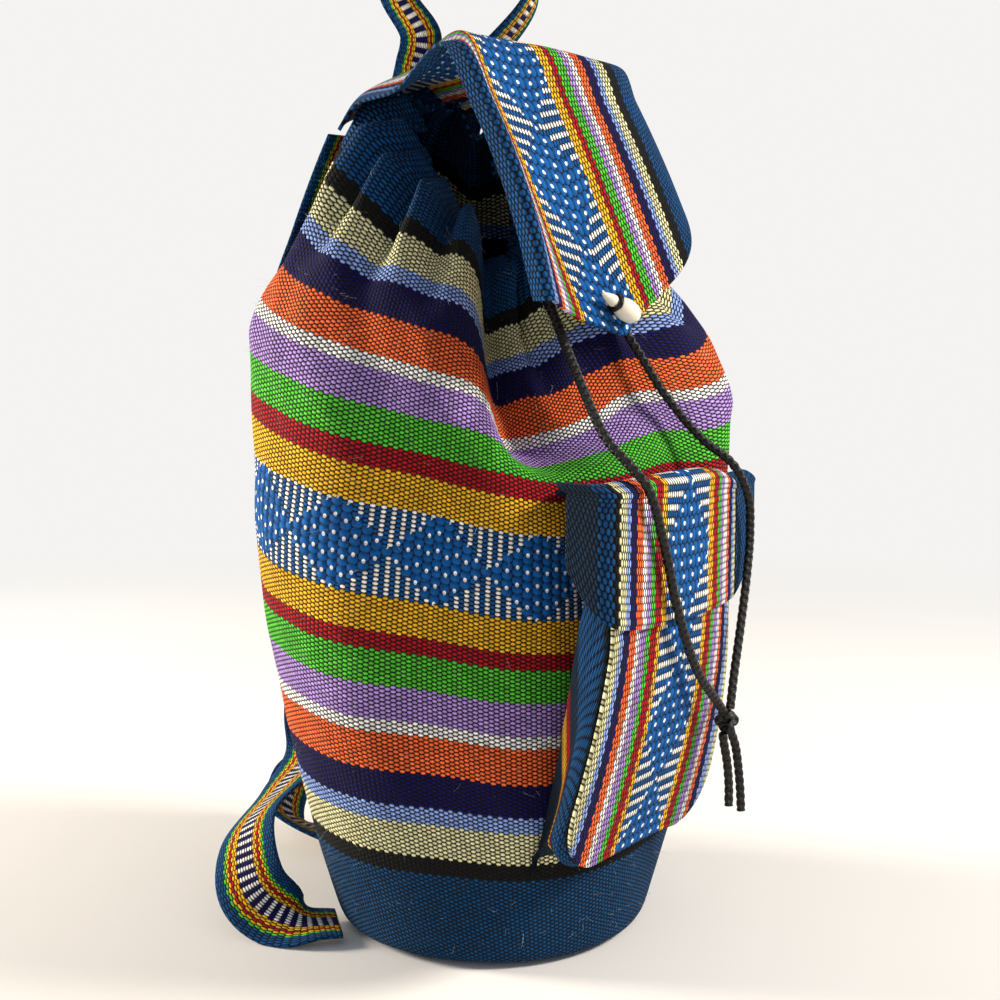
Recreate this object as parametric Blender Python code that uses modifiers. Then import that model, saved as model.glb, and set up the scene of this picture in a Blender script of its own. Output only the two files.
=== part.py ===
# A hand-woven drawstring rucksack: a gathered cloth tube on a round base, with a tent-shaped
# top flap, a gusseted front pocket, two woven shoulder straps, a hanging loop and a drawstring.
# Metres, +Z up. The origin is the centre of the base's underside, the front faces -Y.
# An azimuth is in degrees, 0 at the front and rising towards the bag's own right side (-X).

import math

import bpy
import numpy as np
from mathutils import Vector
from mathutils.bvhtree import BVHTree

# Clearances
GAP = 0.0003                    # between pieces that are sewn or lie together

# Body tube
CLOTH = 0.0016                  # thickness of the heavy woven cloth
CLOTH_LENGTH = 0.4194           # cloth from the base edge up to the mouth
BASE_RADIUS = 0.076
BASE_TUCK = 0.009               # how far the bottom edge tucks in under the round
TUCK_LENGTH = 0.007
HALF_WIDTH = 0.115
HALF_DEPTH = 0.104
BELLY_START = 0.217             # cloth length over which the round base opens to the belly
BELLY_POWER = 1.66
BELLY_X, BELLY_Y = 0.005, 0.0214
NECK_START = 0.287              # cloth length where the gathering begins
NECK_POWER = 1.2
MOUTH_RADIUS = 0.032
MOUTH_X, MOUTH_Y = -0.007, 0.0074
HEM_FROM, HEM_TO = 0.396, 0.410                         # the last of the cloth turns inwards
HEM_TURN, HEM_RISE = 0.004, 0.15
SIDE_FLAT, SIDE_FLAT_AT, SIDE_FLAT_SPREAD = 0.015, 64.0, 21.0
BACK_FLAT, BACK_FLAT_AT, BACK_FLAT_SPREAD = 0.004, 100.0, 20.0
CORNER, CORNER_AT, CORNER_SPREAD = 0.031, -49.0, 19.0
SHELF, SHELF_AT, SHELF_SPREAD = 0.0226, 13.0, 31.0      # front set back above the pocket
SHELF_FROM, SHELF_TO = 0.263, 0.299
CREASE, CREASE_LOW, CREASE_HIGH, CREASE_SPREAD = 0.026, 27.0, 36.0, 13.3
CREASE_FROM, CREASE_TO = 0.239, 0.307
RIDGE_BULGE, RIDGE_BULGE_AT, RIDGE_BULGE_SPREAD = 0.0124, 59.0, 13.0
SHOULDER, SHOULDER_AT, SHOULDER_SPREAD = 0.014, -45.0, 26.0
LEAN = 0.30                     # how far the cloth's columns lean towards the crease, radians
STRETCH, TILT, TILT_AT = 0.0133, 0.10, 190.0            # the back stands taller than the front
PLEATS = 14
PLEAT_DEPTH = 0.010
FIRST_PLEAT, PLEAT_SPAN, PLEAT_CROWD = 62.0, 316.0, 0.94
PLEAT_FROM, PLEAT_TO = 0.30, 0.42
COLUMNS_PER_PLEAT = 5

# Base
BASE_THICK = 0.002

# Top flap, measured across the cloth from the middle of its patterned band
FLAP_CLOTH = 0.0018
FLAP_LEFT = 0.066
FLAP_RIGHT = 0.095
FLAP_HEM = 0.013                # left edge rolled back on itself
FLAP_LENGTH = 0.150             # from the ridge to the tip
FLAP_SEAM, FLAP_SEAM_AT = 0.397, 195.0                  # where it is sewn to the back of the neck
FLAP_SEAM_ROUND = 0.130         # radius that spreads the gathered seam round the neck
FLAP_SEAM_STAND = 0.0009        # clearance from the pleats there
FLAP_TURN = 7.0                 # degrees that the front leg turns towards the bag's left
FLAP_LIFT = 0.004               # the back leg clears the mouth by this rise
FLAP_DIP = 0.005                # and its edges fall this much
RIDGE_X, RIDGE_Y, RIDGE_Z = -0.024, -0.020, 0.4365
FLARE_TOP, FLARE_TIP = 40.0, 18.0                       # left edge flares forwards, degrees

# Front pocket
POCKET_CLOTH = 0.0018
POCKET_HALF = 0.070
POCKET_LOW = 0.055
POCKET_HEIGHT = 0.177
POCKET_CORNER = 0.035
POCKET_DEPTH = 0.0082           # at its foot, where it stands least proud
POCKET_SWELL = 0.0235           # how much further out its top stands
POCKET_TURN = 2.5
POCKET_X = 0.0
POCKET_SAG = 0.009              # its right side hangs this much lower
POCKET_SEAM_HALF = 0.052        # the seam on the body is narrower than the front panel
GUSSET_ROLL = 0.0035            # how far the gusset swells where the pocket is deep
GUSSET_FULL = 0.025
POCKET_FLAP_DROP = 0.066
POCKET_FLAP_HALF = 0.095        # half the width of its cloth, wings and all
POCKET_FLAP_SPARE = 0.0055      # its left fold stands this far outside the pocket
POCKET_FLAP_STAND = 0.0010      # clearance over the pocket's front
POCKET_FLAP_ROUND = 0.008
POCKET_FLAP_OPEN = 4.0          # the right wing hardly folds, degrees
POCKET_FLAP_SEAM_HALF = 0.042
POCKET_FLAP_SLOPE = 0.007       # the flap's top falls this much towards the body

# Straps and loop
STRAP_WIDTH = 0.036
STRAP_THICK = 0.0022
BACK_AT = 188.0                 # azimuth of the middle of the back
STRAP_SIDE = 12.0               # degrees from there to each strap
STRAP_BACK = [(0.377, 0.0006), (0.36, 0.0008), (0.33, 0.001), (0.29, 0.0012), (0.24, 0.0012), (0.18, 0.003),
              (0.13, 0.006)]
STRAP_FOOT = 0.020              # cloth length where the strap's foot is sewn to the body
LOOP_AT = 208.0
LOOP_WIDTH = 0.024
LOOP_THICK = 0.0026

# Toggle and drawstring
TOGGLE_LENGTH = 0.026
TOGGLE_RADIUS = 0.0052
TOGGLE_WAIST = 0.0022
TOGGLE_DIP = 27.0
TOGGLE_ACROSS, TOGGLE_UP = 0.002, 0.013                 # its place on the flap, from the tip
TOGGLE_LOOP = 0.0011
TOGGLE_STAND = 0.0011           # clearance from the flap's curve
CORD_RADIUS = 0.0022
CORD_STEP = 0.010               # between the points of a cord's centre line
KNOT_WIDTH, KNOT_LENGTH = 0.0088, 0.0115


def new_material(name, hex_colour, roughness=0.85):
    channels = [int(hex_colour[k:k + 2], 16) / 255 for k in (0, 2, 4)]
    linear = [c / 12.92 if c <= 0.04045 else ((c + 0.055) / 1.055) ** 2.4 for c in channels]
    material = bpy.data.materials.new(name)
    material.use_nodes = True
    shader = material.node_tree.nodes["Principled BSDF"]
    shader.inputs["Base Color"].default_value = (*linear, 1)
    shader.inputs["Roughness"].default_value = roughness
    shader.inputs["Metallic"].default_value = 0
    return material


def smooth_step(start, end, value):
    t = np.clip((value - start) / (end - start), 0, 1)
    return t * t * (3 - 2 * t)


def bell(azimuth, centre, spread):
    turn = (azimuth - centre + 180) % 360 - 180
    return np.exp(-(turn / spread) ** 2)


# Pleats crowd round the mouth from the first one to the last, and the wide gap between
# the last and the first is the deep crease in front.
def pleat_phase(azimuth):
    along = (azimuth - FIRST_PLEAT) % 360
    crowded = (PLEATS - 1) * (np.clip(along, 0, PLEAT_SPAN) / PLEAT_SPAN) ** (1 / PLEAT_CROWD)
    gap = PLEATS - 1 + (along - PLEAT_SPAN) / (360 - PLEAT_SPAN)
    return np.where(along <= PLEAT_SPAN, crowded, gap)


def pleat_azimuth(phase):
    crowded = PLEAT_SPAN * (np.clip(phase, 0, PLEATS - 1) / (PLEATS - 1)) ** PLEAT_CROWD
    gap = PLEAT_SPAN + (phase - PLEATS + 1) * (360 - PLEAT_SPAN)
    return FIRST_PLEAT + np.where(phase <= PLEATS - 1, crowded, gap)


# Outer face of the body cloth. The radius is an ellipse with flats, a corner, a shelf, a
# crease and pleats, and the height is the running sum of what each bit of cloth has left
# to climb after it has moved in or out, so the cloth keeps its length.
def body_surface(azimuths, lengths, crests_only=False):
    azimuths = np.asarray(azimuths, float)[None, :]
    v = np.linspace(0, CLOTH_LENGTH, 281)[:, None]
    turned = azimuths - np.degrees(LEAN * np.sin(np.radians(azimuths - 30)) * smooth_step(0.08, 0.36, v))
    angle = np.radians(turned)
    ellipse = 1 / np.sqrt((np.sin(angle) / HALF_WIDTH) ** 2 + (np.cos(angle) / HALF_DEPTH) ** 2)
    belly = (ellipse - SIDE_FLAT * bell(turned, SIDE_FLAT_AT, SIDE_FLAT_SPREAD)
             - BACK_FLAT * bell(turned, BACK_FLAT_AT, BACK_FLAT_SPREAD)
             + CORNER * bell(turned, CORNER_AT, CORNER_SPREAD))
    opened = 1 - np.clip(1 - v / BELLY_START, 0, 1) ** BELLY_POWER
    radius = BASE_RADIUS - BASE_TUCK * np.exp(-(v / TUCK_LENGTH) ** 2) + (belly - BASE_RADIUS) * opened
    gathered = np.clip((v - NECK_START) / (CLOTH_LENGTH - NECK_START), 0, 1) ** NECK_POWER
    radius = radius + (MOUTH_RADIUS - radius) * gathered
    shelf = smooth_step(SHELF_FROM, SHELF_TO, v) * (1 - smooth_step(0.36, 0.435, v))
    radius = radius - SHELF * shelf * bell(turned, SHELF_AT, SHELF_SPREAD)
    crease_at = CREASE_LOW + (CREASE_HIGH - CREASE_LOW) * smooth_step(0.25, 0.35, v)
    crease = CREASE * smooth_step(CREASE_FROM, CREASE_TO, v) * (1 - 0.85 * smooth_step(0.345, 0.400, v))
    off_crease = (turned - crease_at + 180) % 360 - 180
    radius = radius - crease * np.exp(-np.abs(off_crease / CREASE_SPREAD) ** 2.2)
    bulge = smooth_step(0.26, 0.32, v) * (1 - smooth_step(0.36, 0.42, v))
    radius = radius + RIDGE_BULGE * bulge * bell(turned, RIDGE_BULGE_AT, RIDGE_BULGE_SPREAD)
    full = smooth_step(0.27, 0.34, v) * (1 - smooth_step(0.36, 0.41, v))
    radius = radius + SHOULDER * full * bell(turned, SHOULDER_AT, SHOULDER_SPREAD)
    wave = 1 if crests_only else np.cos(2 * np.pi * pleat_phase(azimuths))
    hem = smooth_step(HEM_FROM, HEM_TO, v)
    radius = radius + PLEAT_DEPTH * smooth_step(PLEAT_FROM, PLEAT_TO, v) * (1 - 0.5 * hem) * wave
    radius = radius - HEM_TURN * hem
    step = v[1, 0] - v[0, 0]
    slope = np.gradient(radius, step, axis=0)
    climb = np.sqrt(np.clip(1 - slope ** 2, 0.06, 1))
    climb = climb * (1 + STRETCH + TILT * np.cos(np.radians(turned - TILT_AT))) * (1 - (1 - HEM_RISE) * hem)
    height = np.vstack([np.zeros_like(azimuths), np.cumsum((climb[1:] + climb[:-1]) / 2 * step, axis=0)])
    centre_x = BELLY_X * opened * (1 - gathered) + MOUTH_X * gathered
    centre_y = BELLY_Y * opened * (1 - gathered) + MOUTH_Y * gathered
    points = np.stack([centre_x - radius * np.sin(angle), centre_y - radius * np.cos(angle), height], 2)
    row = np.clip(np.asarray(lengths, float) / step, 0, len(v) - 1.000001)
    below = row.astype(int)
    part = (row - below)[:, None, None]
    return points[below] * (1 - part) + points[below + 1] * part


def grid_faces(rows, columns, closed=False):
    faces = []
    for i in range(rows - 1):
        for j in range(columns if closed else columns - 1):
            k = (j + 1) % columns
            faces.append((i * columns + j, i * columns + k, (i + 1) * columns + k, (i + 1) * columns + j))
    return faces


def collect(made):
    for owner in list(made.users_collection):
        owner.objects.unlink(made)
    collection.objects.link(made)


def new_object(name, vertices, faces, material):
    mesh = bpy.data.meshes.new(name)
    mesh.from_pydata([tuple(map(float, p)) for p in vertices], [], faces)
    mesh.materials.append(material)
    mesh.validate()
    mesh.shade_smooth()
    made = bpy.data.objects.new(name, mesh)
    collection.objects.link(made)
    return made


# A cloth sheet: an open grid of points with an even thickness.
def sheet(name, points, thickness, material, closed=False, side=0):
    rows, columns = points.shape[:2]
    made = new_object(name, points.reshape(-1, 3), grid_faces(rows, columns, closed), material)
    solid = made.modifiers.new("Thickness", 'SOLIDIFY')
    solid.thickness = thickness
    solid.offset = side
    return made


# Smooth curve through the points, paced by their own spacing or by that of another route
def spline(points, count, pace=None):
    points = np.asarray(points, float)
    paced = points if pace is None else np.asarray(pace, float)
    steps = np.linalg.norm(np.diff(paced, axis=0), axis=1) ** 0.5
    knots = np.concatenate([[0], np.cumsum(steps)])
    tangents = np.gradient(points, knots, axis=0)
    at = np.linspace(0, knots[-1], count)
    k = np.clip(np.searchsorted(knots, at, side="right") - 1, 0, len(points) - 2)
    h = (knots[k + 1] - knots[k])[:, None]
    t = ((at - knots[k]) / h[:, 0])[:, None]
    return ((2 * t ** 3 - 3 * t ** 2 + 1) * points[k] + (t ** 3 - 2 * t ** 2 + t) * h * tangents[k]
            + (3 * t ** 2 - 2 * t ** 3) * points[k + 1] + (t ** 3 - t ** 2) * h * tangents[k + 1])


# A woven band along a route, with the direction of its width given at each route point. Where
# it would reach the floor it is lifted to lie on it.
def band(name, route, widths, width, thickness, count, material):
    middle = spline(route, count)
    across = spline(widths, count, pace=route)
    along = np.gradient(middle, axis=0)
    along /= np.linalg.norm(along, axis=1)[:, None]
    across -= along * np.sum(across * along, axis=1)[:, None]
    across /= np.linalg.norm(across, axis=1)[:, None]
    normal = np.cross(along, across)
    rim = thickness
    section = [(-width / 2, 0), (-width / 2 + rim, -thickness / 2), (width / 2 - rim, -thickness / 2),
               (width / 2, 0), (width / 2 - rim, thickness / 2), (-width / 2 + rim, thickness / 2)]
    rings = np.stack([middle + a * across + n * normal for a, n in section], 1)
    rings[:, :, 2] += np.maximum(GAP - rings[:, :, 2].min(axis=1), 0)[:, None]
    sides = len(section)
    faces = []
    for i in range(count - 1):              # both broad faces are split along the same diagonal
        for j in range(sides):
            k = (j + 1) % sides
            a, b, c, d = i * sides + j, i * sides + k, (i + 1) * sides + k, (i + 1) * sides + j
            faces += [(a, b, c), (a, c, d)] if j < sides // 2 else [(a, b, d), (b, c, d)]
    faces.append(tuple(reversed(range(sides))))
    faces.append(tuple((count - 1) * sides + k for k in range(sides)))
    return new_object(name, rings.reshape(-1, 3), faces, material)


def cord(name, route, radius, count, material):
    curve = bpy.data.curves.new(name, 'CURVE')
    curve.dimensions = '3D'
    curve.bevel_depth = radius
    curve.bevel_resolution = 2
    curve.use_fill_caps = True
    line = curve.splines.new('POLY')
    line.points.add(count - 1)
    for point, place in zip(line.points, spline(route, count)):
        point.co = (*map(float, place), 1)
    curve.materials.append(material)
    made = bpy.data.objects.new(name, curve)
    collection.objects.link(made)
    return made


# Body tube, open at the bottom edge and at the gathered mouth
def make_body():
    azimuths = pleat_azimuth(np.arange(PLEATS * COLUMNS_PER_PLEAT) / COLUMNS_PER_PLEAT)
    tuck = TUCK_LENGTH * np.array([0, 0.6, 1.2, 2.1])
    lower = np.linspace(0.045, SHELF_FROM - 0.02, 5)
    upper = np.linspace(SHELF_FROM, CLOTH_LENGTH, 9)
    rows = body_surface(azimuths, np.concatenate([tuck, lower, upper]))
    rows[0, :, 2] = 0
    return sheet("body_cloth", rows[:, ::-1], CLOTH, body_colour, closed=True, side=-1)


def make_base():
    inner = BASE_RADIUS - BASE_TUCK - CLOTH + GAP
    bpy.ops.mesh.primitive_cylinder_add(vertices=48, radius=inner, depth=BASE_THICK,
                                        location=(0, 0, BASE_THICK / 2))
    made = bpy.context.object
    made.name = made.data.name = "base_panel"
    made.data.materials.append(base_colour)
    collect(made)


# Front leg of the flap at cloth position s (across) and t (0 at the ridge, 1 at the tip)
def flap_front(s, t):
    drop = FLAP_LENGTH * t
    forward = 0.40 * drop + 0.008 * np.sin(np.pi * t)
    down = np.sqrt(np.maximum(drop ** 2 - forward ** 2, 0))
    drift = -0.006 * np.sin(np.pi * t) + 0.016 * t ** 3
    flare = np.radians(FLARE_TOP + (FLARE_TIP - FLARE_TOP) * t ** 3)
    steps = 48
    total_x, total_y = np.zeros_like(s), np.zeros_like(s)
    for k in range(steps):
        along = s * (k + 0.5) / steps
        left = flare * smooth_step(0.014, 0.034, -along)
        left = left - np.radians(135) * smooth_step(FLAP_LEFT, FLAP_LEFT + 0.007, -along)
        right = np.radians(-FLAP_TURN) + np.radians(50) * smooth_step(0.075, FLAP_RIGHT + 0.01, along)
        heading = np.where(s < 0, left, right)
        total_x += np.where(s < 0, -np.abs(s) * np.cos(heading), s * np.cos(heading)) / steps
        total_y += np.where(s < 0, -np.abs(s) * np.sin(heading), s * np.sin(heading)) / steps
    sag = 0.012 * smooth_step(0.02, FLAP_LEFT, -s) * (1 - t) + 0.003 * smooth_step(0.03, FLAP_RIGHT, s)
    x = RIDGE_X + drift + total_x
    y = RIDGE_Y - forward + total_y
    z = RIDGE_Z - down - sag
    return np.stack([x, y, z], -1)


# End of the front leg as a share of its length, cut round on the right and slanted on the left
def flap_end(s):
    right = np.clip((s - 0.005) / (FLAP_RIGHT - 0.005), 0, 1)
    left = np.clip((0.005 - s) / (FLAP_LEFT + 0.005), 0, 1)
    return 1 - 0.29 * right ** 0.9 - 0.13 * right ** 6 - 0.12 * left


# Whole flap: sewn to the back, over the mouth, over the ridge and down the front
def flap_surface(s, rows):
    azimuth = FLAP_SEAM_AT + np.degrees((s - (FLAP_RIGHT - FLAP_LEFT) / 2) / FLAP_SEAM_ROUND)
    seam = body_surface(azimuth, [FLAP_SEAM - 0.012, FLAP_SEAM], crests_only=True)
    turn = np.radians(azimuth)
    seam = seam + np.stack([-np.sin(turn), -np.cos(turn), 1 + 0 * turn], -1) * (FLAP_SEAM_STAND + FLAP_CLOTH / 2)
    ridge = flap_front(s, np.zeros_like(s))
    middle = (seam[1] + ridge) / 2
    share = np.clip(np.abs(s - 0.012) / 0.08, 0, 1)
    middle[:, 2] += FLAP_LIFT * (1 - share ** 2) - FLAP_DIP
    end = flap_end(s)
    knots = [seam[0], seam[1], middle, ridge]
    for share in (0.25, 0.5, 0.75, 1.0):
        knots.append(flap_front(s, share * end))
    knots = np.stack(knots)
    columns = [spline(knots[:, j], rows) for j in range(len(s))]
    return np.stack(columns, 1)


def make_flap():
    hem = np.linspace(-FLAP_LEFT - FLAP_HEM, -FLAP_LEFT, 5)[:-1]
    rest = np.linspace(-FLAP_LEFT, FLAP_RIGHT, 14)
    points = flap_surface(np.concatenate([hem, rest]), 16)
    return sheet("flap", points, FLAP_CLOTH, flap_colour)


def body_hit(x, z):
    return np.array(body_tree.ray_cast(Vector((x, -1, z)), Vector((0, 1, 0)))[0])


# Front panel of the pocket at a (across, from its middle) and h (up from its foot). It leans
# out as it rises, its left side stands forward and its right side falls back.
def pocket_panel(a, h):
    a, h = np.broadcast_arrays(np.asarray(a, float), np.asarray(h, float))
    turn = math.radians(POCKET_TURN)
    right = np.array([math.cos(turn), math.sin(turn), 0])
    out = np.array([right[1], -right[0], 0])
    front = body_hit(POCKET_X, POCKET_LOW)
    rise = np.clip(h / POCKET_HEIGHT, 0, 1.1)
    share = np.clip(a / POCKET_HALF, -1, 1) ** 2
    drop = np.where(a > 0, POCKET_SAG * share, 0)
    level = np.minimum(rise / 0.63, 1)
    side = np.where(a > 0, -0.004 - 0.008 * level, 0.0065 * level ** 2 - 0.0015)
    swell = POCKET_DEPTH + POCKET_SWELL * np.sin(math.pi / 2 * np.minimum(rise / 0.68, 1)) + side * share
    return (front + a[..., None] * right + (h - drop)[..., None] * np.array([0, 0, 1.0])
            + swell[..., None] * out), right, out


def pocket_half(height):
    low = np.clip(POCKET_CORNER - height, 0, POCKET_CORNER)
    return POCKET_HALF - POCKET_CORNER + np.sqrt(POCKET_CORNER ** 2 - low ** 2)


def make_pocket_front():
    heights = POCKET_HEIGHT * np.concatenate([[0.004], np.linspace(0.025, 0.2, 5), np.linspace(0.32, 1, 6)])
    shares = np.linspace(-1, 1, 13)
    a = shares[None, :] * pocket_half(heights)[:, None]
    points = pocket_panel(a, heights[:, None])[0]
    return sheet("pocket_front", points, POCKET_CLOTH, pocket_colour)


# The U-shaped outline of the pocket, from its top left corner round the foot to the top right
def pocket_outline(count, inset):
    side = POCKET_HEIGHT - POCKET_CORNER
    half = POCKET_HALF - inset
    corner = POCKET_CORNER - inset
    arc = corner * math.pi / 2
    flat = 2 * (half - corner)
    total = 2 * side + 2 * arc + flat
    places = []
    for d in np.linspace(0, total, count):
        mirrored = min(d, total - d)
        if mirrored <= side:
            place = (half, POCKET_HEIGHT - mirrored)
            outward = (1, 0)
        elif mirrored <= side + arc:
            turn = (mirrored - side) / corner
            place = (half - corner + corner * math.cos(turn), POCKET_CORNER - corner * math.sin(turn))
            outward = (math.cos(turn), -math.sin(turn))
        else:
            place = (total / 2 - mirrored, inset)
            outward = (0, -1)
        sign = -1 if d < total / 2 else 1
        places.append((sign * place[0], place[1], sign * outward[0], outward[1]))
    return np.array(places)


# The gusset runs back from the front panel to a narrower seam on the body, first swelling
# outwards and then pinched in before the rolled seam.
def make_pocket_gusset():
    shares = np.array([0, 0.14, 0.32, 0.52, 0.72, 0.88, 1.0])
    outline = pocket_outline(31, POCKET_CLOTH)
    points = np.zeros((len(shares), len(outline), 3))
    for j, (a, h, side, low) in enumerate(outline):
        front, right, out = pocket_panel(a, h)
        start = front - out * (POCKET_CLOTH + GAP)
        seam_x = POCKET_X + a * POCKET_SEAM_HALF / POCKET_HALF
        seam_z = front[2] + 0.004 - (0.004 + POCKET_FLAP_SLOPE + POCKET_CLOTH) * h / POCKET_HEIGHT
        seam = body_hit(seam_x, seam_z) + out * (CLOTH / 2 + GAP * 2)
        outward = side * right + low * np.array([0, 0, 1.0])
        roll = GUSSET_ROLL * min(1, np.linalg.norm(seam - start) / GUSSET_FULL)
        for i, share in enumerate(shares):
            first = math.sin(math.pi * min(share / 0.5, 1)) - 0.7 * math.sin(math.pi * max(share - 0.5, 0) / 0.5)
            points[i, j] = start + (seam - start) * share + outward * roll * first
    return sheet("pocket_gusset", points, POCKET_CLOTH, gusset_colour)


# Pocket flap: sewn to the body above the pocket, over its top and down its front. Its left
# wing is folded back along the pocket's side and its right one hangs free.
def make_pocket_flap():
    stand = POCKET_CLOTH + POCKET_FLAP_STAND
    straight_half = POCKET_HALF + POCKET_FLAP_SPARE - POCKET_FLAP_ROUND
    columns = []
    fold_end = straight_half + POCKET_FLAP_ROUND * math.pi / 2
    places = np.concatenate([[-POCKET_FLAP_HALF, -(POCKET_FLAP_HALF + fold_end) / 2],
                             np.linspace(-fold_end, -straight_half, 4),
                             np.linspace(-straight_half, POCKET_FLAP_HALF, 15)[1:]])
    for a in places:
        side = math.copysign(1, a)
        limit = math.pi / 2 if a < 0 else math.radians(POCKET_FLAP_OPEN)
        over = max(abs(a) - straight_half, 0)
        turn = min(over / POCKET_FLAP_ROUND, limit)
        straight = max(over - POCKET_FLAP_ROUND * limit, 0)
        x = side * (min(abs(a), straight_half) + POCKET_FLAP_ROUND * math.sin(turn) + straight * math.cos(turn))
        back = POCKET_FLAP_ROUND * (1 - math.cos(turn)) + straight * math.sin(turn)
        wing = over / (POCKET_FLAP_HALF - straight_half)
        drop = POCKET_FLAP_DROP * (1 - 0.2 * (a / POCKET_FLAP_HALF) ** 2 - (0.1 if a < 0 else 0.3) * wing ** 2)
        top = POCKET_HEIGHT + stand
        _, right, out = pocket_panel(x, top)
        edge = pocket_panel(x, top)[0] + out * (stand - back)
        seam_x = POCKET_X + a * POCKET_FLAP_SEAM_HALF / POCKET_FLAP_HALF
        seam = body_hit(seam_x, edge[2] - POCKET_FLAP_SLOPE) + out * (CLOTH / 2 + GAP * 2)
        up = np.array([0, 0, 1.0])
        column = [seam, seam * 0.5 + edge * 0.5 + up * 0.0025, edge - out * 0.005 + up * 0.0022,
                  edge + out * 0.0004 - up * 0.0012]
        for share in (0.09, 0.3, 0.53, 0.77, 1.0):
            column.append(pocket_panel(x, top - drop * share)[0] + out * (stand - back))
        columns.append(np.array(column))
    return sheet("pocket_flap", np.stack(columns, 1), POCKET_CLOTH, pocket_colour)


# The shoulder straps run down the back from under the flap's seam. Each is slack at its
# foot, where it loops out on the floor and comes back to the base seam. A slack point is
# measured from that foot seam: across, back and up, then the direction of the band's width.
LEFT_SLACK = [((0.070, 0.084, 0.092), (0.85, -0.5, 0.05)), ((0.066, 0.082, 0.064), (0.35, -0.93, 0.1)),
              ((0.034, 0.074, 0.052), (0.05, -0.9, 0.4)), ((-0.008, 0.057, 0.041), (0.3, -0.78, 0.5)),
              ((-0.025, 0.034, 0.020), (0.60, -0.70, 0.2)), ((-0.017, 0.014, 0.0078), (0.75, -0.2, 0)),
              ((0, 0, 0.0045), (0.6, 0.78, 0.0))]
RIGHT_SLACK = [((0.014, 0.050, 0.088), (1, 0.1, 0.0)), ((0.007, 0.069, 0.056), (0.95, 0.15, -0.3)),
               ((-0.010, 0.088, 0.031), (0.82, 0.0, -0.56)), ((-0.022, 0.080, 0.0145), (0.85, 0.05, -0.5)),
               ((-0.014, 0.056, 0.0070), (0.93, 0.3, -0.15)), ((0.006, 0.028, 0.0050), (0.94, -0.1, 0.0)),
               ((0, 0, 0.0050), (0.94, -0.34, 0.0))]


def make_strap(name, azimuth, foot_azimuth, slack):
    turn = math.radians(azimuth)
    out = np.array([-math.sin(turn), -math.cos(turn), 0])
    across = np.array([-math.cos(turn), math.sin(turn), 0])
    route, widths = [], []
    for length, standoff in STRAP_BACK:
        point = body_surface([azimuth], [length], crests_only=True)[0, 0]
        route.append(point + out * (standoff + STRAP_THICK / 2))
        widths.append(across)
    turn = math.radians(foot_azimuth)
    foot = body_surface([foot_azimuth], [STRAP_FOOT])[0, 0]
    foot = foot + np.array([-math.sin(turn), -math.cos(turn), 0]) * (STRAP_THICK / 2 + GAP * 3)
    for (x, y, z), width in slack:
        route.append(np.array([foot[0] + x, foot[1] + y, z]))
        widths.append(np.array(width, float))
    return band(name, route, widths, STRAP_WIDTH, STRAP_THICK, 56, strap_colour)


# Hanging loop: both ends sewn at the back of the neck over the flap's seam, standing up in an
# arch. Each point is measured from the seat: across, back and up, then the width's direction.
LOOP_ROUTE = [((-0.013, 0.002, 0.000), (0.95, -0.1, 0)), ((-0.010, -0.002, 0.016), (0.95, -0.3, 0)),
              ((-0.010, -0.006, 0.030), (0.9, -0.4, 0)), ((-0.018, 0.003, 0.052), (0.95, -0.2, 0)),
              ((-0.018, 0.000, 0.072), (0.9, 0.3, 0.2)), ((0.002, -0.022, 0.084), (0.75, 0.67, 0)),
              ((0.024, -0.046, 0.072), (0.75, 0.65, 0.1)), ((0.025, -0.052, 0.052), (0.85, 0.4, 0)),
              ((0.019, -0.038, 0.030), (0.95, 0.1, 0)), ((0.014, -0.016, 0.016), (1, 0, 0)),
              ((0.013, -0.003, 0.000), (1, 0.3, 0))]


def make_loop():
    seat = body_surface([LOOP_AT], [FLAP_SEAM], crests_only=True)[0, 0]
    turn = math.radians(LOOP_AT)
    out = np.array([-math.sin(turn), -math.cos(turn), 0])
    seat = seat + out * (FLAP_SEAM_STAND + FLAP_CLOTH + LOOP_THICK / 2 + GAP * 4) + np.array([0, 0, 0.0045])
    route = [seat + np.array(place) for place, _ in LOOP_ROUTE]
    widths = [width for _, width in LOOP_ROUTE]
    return band("hanging_loop", route, widths, LOOP_WIDTH, LOOP_THICK, 36, strap_colour)


# Toggle: a turned teardrop with a waist that a short loop of cord grips
def make_toggle():
    profile = [(0, 0.5), (0.18, 0.47), (0.42, 0.33), (0.56, 0.2), (1, 0.12), (0.75, 0.04), (0.95, -0.08),
               (1, -0.2), (0.9, -0.34), (0.62, -0.44), (0, -0.5)]
    points = []
    for k, (share, along) in enumerate(profile):
        radius = TOGGLE_WAIST if k == 4 else TOGGLE_RADIUS * share
        points.append((radius, 0, along * TOGGLE_LENGTH))
    edges = [(k, k + 1) for k in range(len(points) - 1)]
    mesh = bpy.data.meshes.new("toggle")
    mesh.from_pydata(points, edges, [])
    mesh.materials.append(toggle_colour)
    made = bpy.data.objects.new("toggle", mesh)
    collection.objects.link(made)
    screw = made.modifiers.new("Turn", 'SCREW')
    screw.steps = screw.render_steps = 16
    screw.use_merge_vertices = True
    screw.merge_threshold = 0.0001
    centre, along = toggle_seat()
    made.location = centre
    made.rotation_euler = Vector(-along).to_track_quat('Z', 'Y').to_euler()
    bpy.ops.mesh.primitive_torus_add(major_radius=TOGGLE_WAIST + GAP + TOGGLE_LOOP, minor_radius=TOGGLE_LOOP,
                                     major_segments=16, minor_segments=6)
    loop = bpy.context.object
    loop.name = loop.data.name = "toggle_cord"
    loop.data.materials.append(cord_colour)
    collect(loop)
    loop.location = centre - along * 0.12 * TOGGLE_LENGTH
    loop.rotation_euler = made.rotation_euler


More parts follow.
